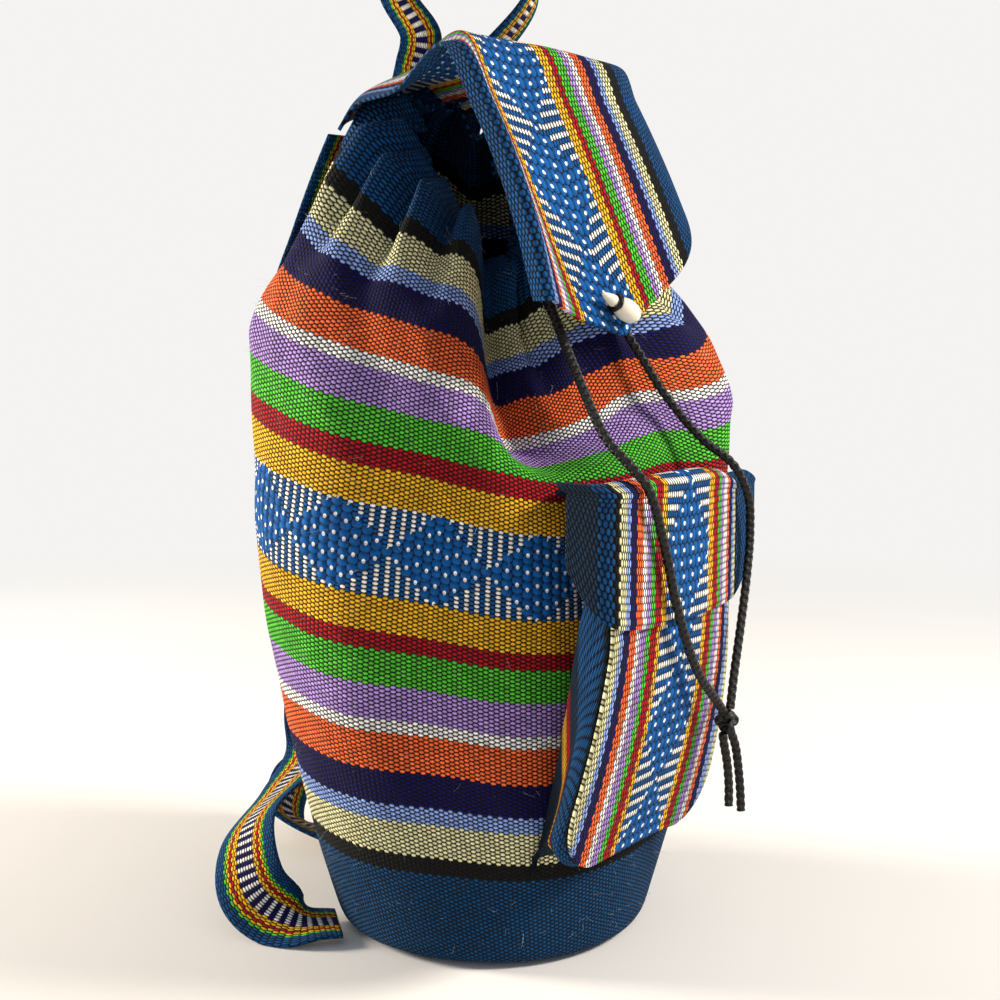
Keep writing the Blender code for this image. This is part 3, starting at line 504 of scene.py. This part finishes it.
def wrinkles(azimuths, lengths):
    a, v = np.radians(azimuths)[None, :], lengths[:, None]
    w = wrinkle
    waves = sum(size * np.sin(turns * a + along * v + start) for size, turns, along, start in w["waves"])
    strength = w["low"] * smoothStep(*w["base"], v) + w["high"] * riseAndFall(w["neck"], w["top"], v)
    return waves * strength - w["inset"] * smoothStep(*w["base"], v)


bandAt = body["footRows"] + countRows(halfStripes) + band["rows"] / 2
topRows = body["length"] / weave["row"] - bandAt - band["rows"] / 2 - countRows(halfStripes)
bodyStripes = [(body["footRows"], "foot")] + halfStripes + [(band["rows"], "brocade")] + halfStripes[::-1]
bodyCloth = wovenCloth("striped hand-woven cotton, body", bodyStripes + [(topRows, "blue")], bandAt=bandAt)
azimuths = pleatAzimuth(np.arange(body["pleats"] * body["perPleat"] + 1) / body["perPleat"])
lengths = np.concatenate([np.linspace(0, 0.014, 8), np.linspace(0.017, body["length"], body["ringCount"])])
bodyShape = bodySurface(azimuths[:-1], lengths)
bodyOut = unit(bodyShape - bodyShape.mean(axis=1, keepdims=True))
bodyShape = bodyShape + bodyOut * wrinkles(azimuths[:-1], lengths)[..., None]
bodyShape[0, :, 2] = 0
cloth = clothGrid((azimuths - body["firstPleat"])[None, :] * body["columns"] / 360,
                  (lengths / weave["row"])[:, None])
bodyMade = gridMesh("woven_body", bodyShape, cloth, bodyCloth, closed=True, flip=True)
thicken(bodyMade, body["cloth"], -1)
standFor(bodyMade, "body_cloth")
print("body made")


# A coarser copy of the body, for finding where the pocket's seams lie on it
aim = dict(rows=90, columns=144)
outer = bodySurface(np.linspace(0, 360, aim["columns"] + 1)[:-1], np.linspace(0, body["length"], aim["rows"]))
corners = faceCorners(aim["rows"], aim["columns"])
aimFaces = np.stack([i * aim["columns"] + j % aim["columns"] for i, j in corners], 1)
bodyTree = BVHTree.FromPolygons(outer.reshape(-1, 3).tolist(), aimFaces.tolist())


def bodyHit(x, z):
    return np.array(bodyTree.ray_cast(Vector((x, -1, z)), Vector((0, 1, 0)))[0])


# Round base: a disc of the blue cloth with a rounded edge, under the tube's tucked edge
base = dict(radius=0.0657, thick=0.002, rings=[0.0004, 0.02, 0.045])
footCloth = wovenCloth("plain hand-woven cotton, base", [(80, "foot")])
turn = np.linspace(0, 2 * math.pi, 97)
rim = base["thick"] / 2
flat = base["radius"] - rim
across = np.array(base["rings"] + [flat, base["radius"], flat, base["rings"][2], base["rings"][0]])[:, None]
high = np.array([0, 0, 0, 0, 1, 2, 2, 2])[:, None] * rim
disc = np.stack([across * np.cos(turn), across * np.sin(turn), high + 0 * turn], 2)
baseMade = gridMesh("round_base", disc[:, :-1], disc[..., :2] / weave["row"] + 40, footCloth, closed=True,
                    capped=True, flip=True)
standFor(baseMade, "base_panel")


# Top flap, measured across the cloth from the middle of its patterned band
flap = dict(cloth=0.0018, left=0.066, right=0.095, hem=0.013, length=0.15, seam=0.397, seamLow=0.012,
            seamAt=195, seamRound=0.13, seamStand=0.0009, lift=0.004, liftAt=0.012, liftHalf=0.08, dip=0.005,
            ridge=(-0.024, -0.02, 0.4365), forward=0.4, bow=0.008, driftBack=0.006, driftOut=0.016,
            flareTop=40, flareTip=18, flareFrom=(0.014, 0.034), hemTurn=135, hemRound=0.007,
            turn=7, fold=50, foldFrom=0.075, foldPast=0.01, sagLeft=0.012, sagLeftFrom=0.02,
            sagRight=0.003, sagRightFrom=0.03, steps=48, rows=150,
            slantAt=0.005, slantRight=0.29, slantPower=0.9, cornerRight=0.13, cornerPower=6, slantLeft=0.12)


# Front leg of the flap at s across and t from 0 at the ridge to 1 at the tip: it falls forwards,
# and its heading turns along s, running sum by running sum, so that its width keeps its length
def flapFront(s, t):
    f = flap
    fall = f["length"] * t
    forward = f["forward"] * fall + f["bow"] * np.sin(np.pi * t)
    down = np.sqrt(np.maximum(fall ** 2 - forward ** 2, 0))
    drift = f["driftOut"] * t ** 3 - f["driftBack"] * np.sin(np.pi * t)
    flare = np.radians(f["flareTop"] + (f["flareTip"] - f["flareTop"]) * t ** 3)
    totalX, totalY = np.zeros_like(s), np.zeros_like(s)
    for k in range(f["steps"]):
        along = s * (k + 0.5) / f["steps"]
        left = flare * smoothStep(*f["flareFrom"], -along)
        left = left - np.radians(f["hemTurn"]) * smoothStep(f["left"], f["left"] + f["hemRound"], -along)
        right = np.radians(f["fold"]) * smoothStep(f["foldFrom"], f["right"] + f["foldPast"], along)
        heading = np.where(s < 0, left, right - np.radians(f["turn"]))
        totalX += s * np.cos(heading) / f["steps"]
        totalY += s * np.sin(heading) / f["steps"]
    sag = f["sagLeft"] * smoothStep(f["sagLeftFrom"], f["left"], -s) * (1 - t)
    sag = sag + f["sagRight"] * smoothStep(f["sagRightFrom"], f["right"], s)
    x, y, z = f["ridge"]
    return np.stack([x + drift + totalX, y - forward + totalY, z - down - sag], -1)


# How far down the front leg the flap reaches: its end slants up to both sides
def flapEnd(s):
    f = flap
    right = np.clip((s - f["slantAt"]) / (f["right"] - f["slantAt"]), 0, 1)
    left = np.clip((f["slantAt"] - s) / (f["left"] + f["slantAt"]), 0, 1)
    slanted = f["slantRight"] * right ** f["slantPower"] + f["cornerRight"] * right ** f["cornerPower"]
    return 1 - slanted - f["slantLeft"] * left


# Whole flap: a smooth line for each place across, through the seam, the mouth and the ridge
def flapSurface(s, rows):
    f = flap
    azimuth = f["seamAt"] + np.degrees((s - (f["right"] - f["left"]) / 2) / f["seamRound"])
    seam = bodySurface(azimuth, [f["seam"] - f["seamLow"], f["seam"]], crestsOnly=True)
    seam = seam + (outwardAt(azimuth) + upwards) * (f["seamStand"] + f["cloth"] / 2)
    ridge = flapFront(s, np.zeros_like(s))
    middle = (seam[1] + ridge) / 2
    share = np.clip(np.abs(s - f["liftAt"]) / f["liftHalf"], 0, 1)
    middle[:, 2] += f["lift"] * (1 - share ** 2) - f["dip"]
    end = flapEnd(s)
    leg = [flapFront(s, part * end) for part in (0.25, 0.5, 0.75, 1.0)]
    knots = np.stack([seam[0], seam[1], middle, ridge] + leg)
    return np.stack([smoothLine(knots[:, j], rows) for j in range(len(s))], 1)


# Stripes beside the band in millimetres, from the band outwards
sideStripes = [(4.7, "yellow"), (6, "red"), (5, "green"), (5.6, "lilac"), (4.5, "white"), (5, "orange"),
               (7, "navy"), (5, "sky"), (6, "cream"), (7, "black"), (18, "blue")]
rowHeight = 2.15    # millimetres
inRows = [(size / rowHeight, colour) for size, colour in sideStripes]
hemStripe = ((flap["hem"] + 0.001) * 1000 / rowHeight, "blue")
leftSide = [hemStripe, (0.8, "cream")] + inRows[:8][::-1]
bandAt = countRows(leftSide) + band["rows"] / 2
flapCloth = wovenCloth("striped hand-woven cotton, flap", leftSide + [(band["rows"], "brocade")] + inRows,
                       bandAt=bandAt)
s = np.concatenate([np.linspace(-flap["left"] - flap["hem"], -flap["left"], 22)[:-1],
                    np.linspace(-flap["left"], flap["right"], 116)])
shape = flapSurface(s, flap["rows"])
middleRun = runLength(shape[:, np.argmin(np.abs(s))])
cloth = clothGrid((middleRun / weave["column"])[:, None], (s / weave["row"] + bandAt)[None, :])
flapMade = thicken(gridMesh("woven_flap", shape, cloth, flapCloth), flap["cloth"])
standFor(flapMade, "flap")
print("flap made")


# Front pocket: panel, gusset and flap
pocket = dict(cloth=0.0018, half=0.07, low=0.055, height=0.177, corner=0.035, turn=2.5, sag=0.009,
              depth=0.0082, swell=0.0235, swellTo=0.68, level=0.63, rightIn=0.004, rightFall=0.008,
              leftIn=0.0015, leftOut=0.0065, seamHalf=0.052, seamUp=0.004, slope=0.007,
              gussetRoll=0.0035, gussetFull=0.025, gussetRows=14.8, rollBack=0.7)
pocketFront = bodyHit(0, pocket["low"])
toRight = np.array([math.cos(math.radians(pocket["turn"])), math.sin(math.radians(pocket["turn"])), 0])
outwards = np.array([toRight[1], -toRight[0], 0])


# Front panel at a across and h up from its foot: it leans out as it rises, its left side stands
# forward and its right side falls back
def pocketPanel(a, h):
    p = pocket
    a, h = np.broadcast_arrays(np.asarray(a, float), np.asarray(h, float))
    rise = np.clip(h / p["height"], 0, 1.1)
    share = np.clip(a / p["half"], -1, 1) ** 2
    fall = np.where(a > 0, p["sag"] * share, 0)
    level = np.minimum(rise / p["level"], 1)
    side = np.where(a > 0, -p["rightIn"] - p["rightFall"] * level, p["leftOut"] * level ** 2 - p["leftIn"])
    swell = p["depth"] + p["swell"] * np.sin(math.pi / 2 * np.minimum(rise / p["swellTo"], 1)) + side * share
    spot = pocketFront + a[..., None] * toRight + (h - fall)[..., None] * upwards
    return spot + swell[..., None] * outwards


pocketStripes = inRows[:9][::-1] + [(band["rows"], "brocade")] + inRows[:9]
halfRows = countRows(pocketStripes) / 2
panelCloth = wovenCloth("striped hand-woven cotton, pocket", pocketStripes, bandAt=halfRows)
heights = pocket["height"] * np.concatenate([np.linspace(0.002, 0.2, 34), np.linspace(0.21, 1, 70)])
low = np.clip(pocket["corner"] - heights, 0, pocket["corner"])
half = pocket["half"] - pocket["corner"] + np.sqrt(pocket["corner"] ** 2 - low ** 2)
a = np.linspace(-1, 1, 81)[None, :] * half[:, None]
shape = pocketPanel(a, heights[:, None])
cloth = clothGrid((heights / weave["column"])[:, None], a / weave["row"] + halfRows)
panelMade = thicken(gridMesh("woven_pocket_front", shape, cloth, panelCloth), pocket["cloth"])
standFor(panelMade, "pocket_front")


# The U-shaped outline of the pocket from its top left corner round the foot to its top right one:
# place across, height, and the direction outwards
def pocketOutline(count, inset):
    side = pocket["height"] - pocket["corner"]
    half, corner = pocket["half"] - inset, pocket["corner"] - inset
    toFoot = side + corner * math.pi / 2
    total = 2 * (toFoot + half - corner)
    along = np.linspace(0, total, count)
    mirrored = np.minimum(along, total - along)
    turned = np.clip((mirrored - side) / corner, 0, math.pi / 2)
    across = half - corner + corner * np.cos(turned) - np.maximum(mirrored - toFoot, 0)
    high = pocket["corner"] - corner * np.sin(turned) + np.maximum(side - mirrored, 0)
    sign = np.where(along < total / 2, -1, 1)
    return sign * across, high, sign * np.cos(turned), -np.sin(turned), along


# Gusset: straight from the panel's edge to its seam on the body, with a roll out and back in
# shade is painted shade on the gusset's edges and along its seam on the body
gussetStripes = [(0.7, "shade"), (4.6, "blue"), (1.2, "shade"), (0.6, "green"), (0.9, "red"), (0.6, "yellow"),
                 (6.2, "shade")]
gussetCloth = wovenCloth("plain hand-woven cotton, gusset", gussetStripes)
across, high, sideways, downwards, along = pocketOutline(180, pocket["cloth"])
start = pocketPanel(across, high) - outwards * (pocket["cloth"] + gap)
seamFall = pocket["seamUp"] + pocket["slope"] + pocket["cloth"]
seamZ = pocketFront[2] + pocket["seamUp"] - seamFall * high / pocket["height"]
seam = np.array([bodyHit(x, z) for x, z in zip(across * pocket["seamHalf"] / pocket["half"], seamZ)])
seam = seam + outwards * (body["cloth"] / 2 + gap * 2)
share = np.linspace(0, 1, 30)[:, None]
roll = pocket["gussetRoll"] * np.minimum(1, np.linalg.norm(seam - start, axis=1) / pocket["gussetFull"])
rollIn = pocket["rollBack"] * np.sin(np.pi * np.maximum(share - 0.5, 0) / 0.5)
wave = np.sin(np.pi * np.minimum(share / 0.5, 1)) - rollIn
direction = sideways[:, None] * toRight + downwards[:, None] * upwards
shape = start + (seam - start) * share[..., None] + direction * (roll * wave)[..., None]
cloth = clothGrid((along / weave["column"])[None, :], share * pocket["gussetRows"])
gussetMade = thicken(gridMesh("woven_pocket_gusset", shape, cloth, gussetCloth), pocket["cloth"])
standFor(gussetMade, "pocket_gusset")


# Pocket flap: sewn to the body above the pocket, over its top and down its front. Its left wing
# is folded back round a small radius and its right one hangs free.
pocketFlap = dict(drop=0.066, half=0.095, spare=0.0055, stand=0.001, round=0.008, open=4, seamHalf=0.042,
                  bowed=0.2, wingShort=0.3, arch=0.0025, shoulderIn=0.005, shoulderUp=0.0022, edgeOut=0.0004,
                  edgeDown=0.0012, down=(0.09, 0.3, 0.53, 0.77, 1.0), rows=80)


def pocketFlapColumn(place):
    f = pocketFlap
    stand = pocket["cloth"] + f["stand"]
    straightHalf = pocket["half"] + f["spare"] - f["round"]
    limit = math.pi / 2 if place < 0 else math.radians(f["open"])
    over = max(abs(place) - straightHalf, 0)
    turned = min(over / f["round"], limit)
    straight = max(over - f["round"] * limit, 0)
    x = min(abs(place), straightHalf) + f["round"] * math.sin(turned) + straight * math.cos(turned)
    x = math.copysign(x, place)
    back = f["round"] * (1 - math.cos(turned)) + straight * math.sin(turned)
    wing = over / (f["half"] - straightHalf)
    fall = f["drop"] * (1 - f["bowed"] * (place / f["half"]) ** 2 - f["wingShort"] * wing ** 2)
    top = pocket["height"] + stand
    edge = pocketPanel(x, top) + outwards * (stand - back)
    seam = bodyHit(place * f["seamHalf"] / f["half"], edge[2] - pocket["slope"])
    seam = seam + outwards * (body["cloth"] / 2 + gap * 2)
    column = [seam, seam * 0.5 + edge * 0.5 + upwards * f["arch"],
              edge - outwards * f["shoulderIn"] + upwards * f["shoulderUp"],
              edge + outwards * f["edgeOut"] - upwards * f["edgeDown"]]
    column += [pocketPanel(x, top - fall * part) + outwards * (stand - back) for part in f["down"]]
    return smoothLine(column, f["rows"])


# shade is painted shade on the part of the left wing that is folded back
leftWing, rightWing = [(7.3, "shade"), (3.6, "blue"), (0.75, "black")], [(1, "black"), (10.65, "blue")]
pocketFlapStripes = leftWing + pocketStripes + rightWing
flapHalfRows = countRows(pocketFlapStripes) / 2
pocketFlapCloth = wovenCloth("striped hand-woven cotton, pocket flap", pocketFlapStripes, bandAt=flapHalfRows)
places = np.linspace(-pocketFlap["half"], pocketFlap["half"], 134)
shape = np.stack([pocketFlapColumn(place) for place in places], 1)
middleRun = runLength(shape[:, len(places) // 2])
cloth = clothGrid((middleRun / weave["column"])[:, None], (places / weave["row"] + flapHalfRows)[None, :])
pocketFlapMade = thicken(gridMesh("woven_pocket_flap", shape, cloth, pocketFlapCloth), pocket["cloth"])
standFor(pocketFlapMade, "pocket_flap")
print("pocket made")


# Narrow warp-faced bands: blue edges, lines of yellow and red, and a ladder of white and navy
strap = dict(width=0.036, thick=0.0022, backAt=188, side=12, foot=0.02, across=24, column=0.0026,
             relief=0.0004, ladder=(12, 3.2),    # the ladder's middle and half width
             back=[(0.377, 0.0006), (0.36, 0.0008), (0.33, 0.001), (0.29, 0.0012), (0.24, 0.0012),
                   (0.18, 0.003), (0.13, 0.006)])    # length along the body, clearance
bandStripes = [(3.8, "blue"), (0.8, "green"), (1.4, "yellow"), (1.2, "red"), (1.4, "yellow"), (6.8, "navy"),
               (1.4, "yellow"), (1.2, "red"), (1.4, "yellow"), (0.8, "green"), (3.8, "blue")]
bandCloth = wovenCloth("warp-faced woven cotton band", bandStripes, ladderAt=strap["ladder"],
                       relief=strap["relief"])


# A band along a route, with the direction of its width given at each route point. Its section is
# a flat loop with round edges, lifted where it would reach the floor.
def wovenBand(name, route, widths, width, thick, count, replaced):
    middle = smoothLine(route, count)
    across = smoothLine(widths, count, pace=route)
    along = unit(np.gradient(middle, axis=0))
    across = unit(across - along * np.sum(across * along, axis=1)[:, None])
    normal = np.cross(along, across)
    flatPart = np.linspace(-width / 2 + thick * 0.8, width / 2 - thick * 0.8, 15)
    low = np.stack([flatPart, np.full(15, -thick / 2)], 1)
    shoulder = (width / 2 - thick * 0.25, thick * 0.36)
    edge = np.array([(shoulder[0], -shoulder[1]), (width / 2, 0), shoulder])
    section = np.concatenate([low, edge, -low, -edge])
    rings = middle[:, None] + section[None, :, :1] * across[:, None] + section[None, :, 1:] * normal[:, None]
    rings[:, :, 2] += np.maximum(gap - rings[:, :, 2].min(axis=1), 0)[:, None]
    places = (np.append(section[:, 0], section[0, 0]) / width + 0.5) * strap["across"]
    cloth = clothGrid((runLength(middle) / strap["column"])[:, None], places[None, :])
    made = gridMesh(name, rings, cloth, bandCloth, closed=True, capped=True)
    standFor(made, replaced)
    return made, float(runLength(middle)[-1])


# A slack point is measured from the strap's foot: across, back and up, then the width's direction
slack = dict(
    left=[((0.07, 0.084, 0.092), (0.85, -0.5, 0.05)), ((0.066, 0.082, 0.064), (0.35, -0.93, 0.1)),
          ((0.034, 0.074, 0.052), (0.05, -0.9, 0.4)), ((-0.008, 0.057, 0.041), (0.3, -0.78, 0.5)),
          ((-0.025, 0.034, 0.02), (0.6, -0.7, 0.2)), ((-0.017, 0.014, 0.0078), (0.75, -0.2, 0)),
          ((0, 0, 0.0045), (0.6, 0.78, 0.0))],
    right=[((0.014, 0.05, 0.088), (1, 0.1, 0.0)), ((0.007, 0.069, 0.056), (0.95, 0.15, -0.3)),
           ((-0.01, 0.088, 0.031), (0.82, 0.0, -0.56)), ((-0.022, 0.08, 0.0145), (0.85, 0.05, -0.5)),
           ((-0.014, 0.056, 0.007), (0.93, 0.3, -0.15)), ((0.006, 0.028, 0.005), (0.94, -0.1, 0.0)),
           ((0, 0, 0.005), (0.94, -0.34, 0.0))])
for which, turn, footAzimuth in (("left", -strap["side"], 118), ("right", strap["side"], 200)):
    azimuth = strap["backAt"] + turn
    sideways = np.cross(outwardAt(azimuth), upwards)
    route = [bodySurface([azimuth], [length], crestsOnly=True)[0, 0]
             + outwardAt(azimuth) * (stand + strap["thick"] / 2) for length, stand in strap["back"]]
    widths = [sideways] * len(route)
    foot = bodySurface([footAzimuth], [strap["foot"]])[0, 0]
    foot = foot + outwardAt(footAzimuth) * (strap["thick"] / 2 + gap * 3)
    route += [np.array([foot[0] + x, foot[1] + y, z]) for (x, y, z), _ in slack[which]]
    widths += [np.array(direction, float) for _, direction in slack[which]]
    made, length = wovenBand("woven_strap_" + which, route, widths, strap["width"], strap["thick"], 420,
                             "shoulder_strap_" + which)

# The hanging loop's points, and the directions of its width, are measured from its seat on the flap
loop = dict(at=208, width=0.024, thick=0.0026, rise=0.0045, route=[
    ((-0.013, 0.002, 0.000), (0.95, -0.1, 0)), ((-0.01, -0.002, 0.016), (0.95, -0.3, 0)),
    ((-0.01, -0.006, 0.03), (0.9, -0.4, 0)), ((-0.018, 0.003, 0.052), (0.95, -0.2, 0)),
    ((-0.018, 0.000, 0.072), (0.9, 0.3, 0.2)), ((0.002, -0.022, 0.084), (0.75, 0.67, 0)),
    ((0.024, -0.046, 0.072), (0.75, 0.65, 0.1)), ((0.025, -0.052, 0.052), (0.85, 0.4, 0)),
    ((0.019, -0.038, 0.03), (0.95, 0.1, 0)), ((0.014, -0.016, 0.016), (1, 0, 0)),
    ((0.013, -0.003, 0.000), (1, 0.3, 0))])
seat = bodySurface([loop["at"]], [flap["seam"]], crestsOnly=True)[0, 0] + upwards * loop["rise"]
seat = seat + outwardAt(loop["at"]) * (flap["seamStand"] + flap["cloth"] + loop["thick"] / 2 + gap * 4)
made, length = wovenBand("woven_loop", [seat + np.array(place) for place, _ in loop["route"]],
                         [direction for _, direction in loop["route"]], loop["width"], loop["thick"], 260,
                         "hanging_loop")
print("straps and loop made")


# Toggle: moulded plastic, ivory and glossy, a turned teardrop gripped at its waist by a cord loop.
# Its profile runs from the thin end: share of the radius, and share of the length from the middle.
toggle = dict(length=0.026, radius=0.0052, waist=0.0022, waistAt=0.12, dip=27, across=0.002, up=0.013,
              loop=0.0011, stand=0.0011, colour="#efe9da", cloudy="#e6dcc4", rows=61, beside=0.004)
profile = [(0.03, 0.5), (0.18, 0.47), (0.42, 0.33), (0.56, 0.2),
           (toggle["waist"] / toggle["radius"], toggle["waistAt"]), (0.75, 0.04), (0.95, -0.08), (1, -0.2),
           (0.9, -0.34), (0.62, -0.44), (0.03, -0.5)]
ivory, tree, shader = newMaterial("moulded ivory plastic", Roughness=0.28, IOR=1.49)
twoTones(tree, shader, 120.0, toggle["cloudy"], toggle["colour"])
rows = flapSurface(toggle["across"] + toggle["beside"] * np.array([-1, 0, 1]), toggle["rows"])
# the front leg has four of the seven spans between the flap's knots
i = round((toggle["rows"] - 1) * (1 - 4 / 7 * toggle["up"] / flap["length"]))
across = unit(rows[i, 2] - rows[i, 0])
down = unit(rows[i + 1, 1] - rows[i - 1, 1])
normal = np.cross(down, across)
normal *= -np.sign(normal[1])
dip = math.radians(toggle["dip"])
axis = unit(across * math.cos(dip) + down * math.sin(dip))
centre = rows[i, 1] + normal * (flap["cloth"] / 2 + toggle["radius"] + toggle["stand"])
sideA = unit(np.cross(axis, normal))
sideB = np.cross(axis, sideA)
line = smoothLine([(share, 0, along) for share, along in profile], 70)
turn = np.linspace(0, 2 * math.pi, 49)
around = np.cos(turn)[:, None] * sideA + np.sin(turn)[:, None] * sideB
wall = (centre - (line[:, 2] * toggle["length"])[:, None, None] * axis
        + (line[:, 0] * toggle["radius"])[:, None, None] * around)
toggleMade = gridMesh("ivory_toggle", wall[:, :-1], clothGrid(turn[None, :], line[:, 2:]), ivory, closed=True,
                      capped=True)
standFor(toggleMade, "toggle")
waistAt = centre - axis * toggle["waistAt"] * toggle["length"]
ring = waistAt + (toggle["waist"] + gap + toggle["loop"]) * around[:-1]
ringMade = cordTube("toggle_loop", ring, toggle["loop"], braidedCord, sides=12, facing=ring - waistAt,
                    closed=True)
standFor(ringMade, "toggle_cord")
print("toggle made")


# Loose cotton fibres that stand off the cloth: thin curved slivers of three faces, from places on
# the body picked by a seeded generator, each bent by the square of its own length
fuzz = dict(count=1300, length=(0.002, 0.008), width=0.00013, seed=7, stand=0.32, curl=2.2, lean=0.8,
            clear=0.5, taper=0.8)
cottonFibre, tree, shader = newMaterial("loose cotton fibre", Roughness=0.8)
twoTones(tree, shader, 60.0, "#3c5674", "#e9e4d8")
chance = np.random.default_rng(fuzz["seed"])
count, rows, columns = fuzz["count"], *bodyShape.shape[:2]
i, j = chance.integers(4, rows - 4, count), chance.integers(2, columns - 2, count)
root, out = bodyShape[i, j], bodyOut[i, j]
lean = unit(chance.normal(size=(count, 3)))
size = chance.uniform(*fuzz["length"], count)[:, None]
aside = unit(np.cross(out, lean)) * fuzz["width"] / 2
steps = np.linspace(0, 1, 4)[None, :, None]
risen = (out * size * fuzz["stand"])[:, None] * np.sin(steps * fuzz["curl"])
middle = root[:, None] + risen + (lean * size * fuzz["lean"])[:, None] * steps ** 2
clearing = np.abs((lean * out).sum(1)) * size[:, 0] * fuzz["clear"]
middle += out[:, None] * clearing[:, None, None] * steps ** 2
thinned = aside[:, None] * (1 - fuzz["taper"] * steps)
points = np.stack([middle - thinned, middle + thinned], 2).reshape(-1, 3)
first = (np.arange(count) * 8)[:, None] + np.array([0, 2, 4])[None]
faces = np.stack([first, first + 1, first + 3, first + 2], 2).reshape(-1, 4)
mesh = bpy.data.meshes.new("cotton_fibres_body")
mesh.from_pydata(points.tolist(), [], faces.tolist())
mesh.materials.append(cottonFibre)
fibres = bpy.data.objects.new("cotton_fibres_body", mesh)
scene.collection.objects.link(fibres)
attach(fibres, "root")
print("fibres made")


# 1 for camera, glossy and transmitted rays, which see the background's own tone
def seenRays(tree):
    rays = addNode(tree, "LightPath")
    seen = calc('MAXIMUM', rays.outputs["Is Camera Ray"], rays.outputs["Is Glossy Ray"])
    return calc('MAXIMUM', seen, rays.outputs["Is Transmission Ray"])


# Plain pale floor: matt paint round the bag, where it keeps the bag's shadow. Further out it passes
# into the background's own tone for such rays, so no horizon shows.
studio = dict(floor="#e6e4e0", floorLight="#efedea", backdrop="#f4f3f1", matt=0.42, faded=1.25, half=6,
              fill="#dfe6f0", fillStrength=0.38, aim=(0, 0, 0.22))
floorMaterial, tree, shader = newMaterial("matt painted floor", Roughness=0.85)
twoTones(tree, shader, 3.0, studio["floor"], studio["floorLight"])
place = addNode(tree, "TexCoord").outputs["Object"]
away = addNode(tree, "VectorMath", [place], operation='LENGTH').outputs["Value"]
faded = fade(away, studio["matt"], studio["faded"], 0.0, 1.0)
far = addNode(tree, "Emission", {"Color": studio["backdrop"]})
both = addNode(tree, "MixShader", [calc('MULTIPLY', faded, seenRays(tree)), shader, far])
tree.links.new(both.outputs[0], tree.nodes["Material Output"].inputs["Surface"])
line = np.linspace(-studio["half"], studio["half"], 9)
grid = np.stack(np.meshgrid(line, line) + [np.zeros((9, 9))], 2)
floor = gridMesh("studio_floor", grid, grid[..., :2], floorMaterial)

world = bpy.data.worlds.new("studio")
scene.world = world
world.use_nodes = True
tree = world.node_tree
backdrop = tree.nodes["Background"]
backdrop.inputs["Color"].default_value = linear(studio["backdrop"])
fill = addNode(tree, "Background", {"Color": studio["fill"], "Strength": studio["fillStrength"]})
both = addNode(tree, "MixShader", [seenRays(tree), fill, backdrop])
tree.links.new(both.outputs[0], tree.nodes["World Output"].inputs["Surface"])

lamps = dict(
    key=dict(place=(0.75, -1.35, 1.25), size=0.5, power=42, colour="#fff6ea"),
    side=dict(place=(-0.75, 1.5, 0.62), size=0.5, power=48, colour="#fff3e2"),
    fill=dict(place=(-1.2, -1.0, 0.8), size=1.2, power=2.5, colour="#eef3ff"))
for name, lamp in lamps.items():
    data = bpy.data.lights.new(name, 'AREA')
    data.shape, data.size, data.energy = 'DISK', lamp["size"], lamp["power"]
    data.color = linear(lamp["colour"])[:3]
    made = bpy.data.objects.new(name, data)
    made.location = lamp["place"]
    towards = Vector(studio["aim"]) - Vector(lamp["place"])
    made.rotation_euler = towards.to_track_quat('-Z', 'Y').to_euler()
    scene.collection.objects.link(made)
print("floor and lamps set")
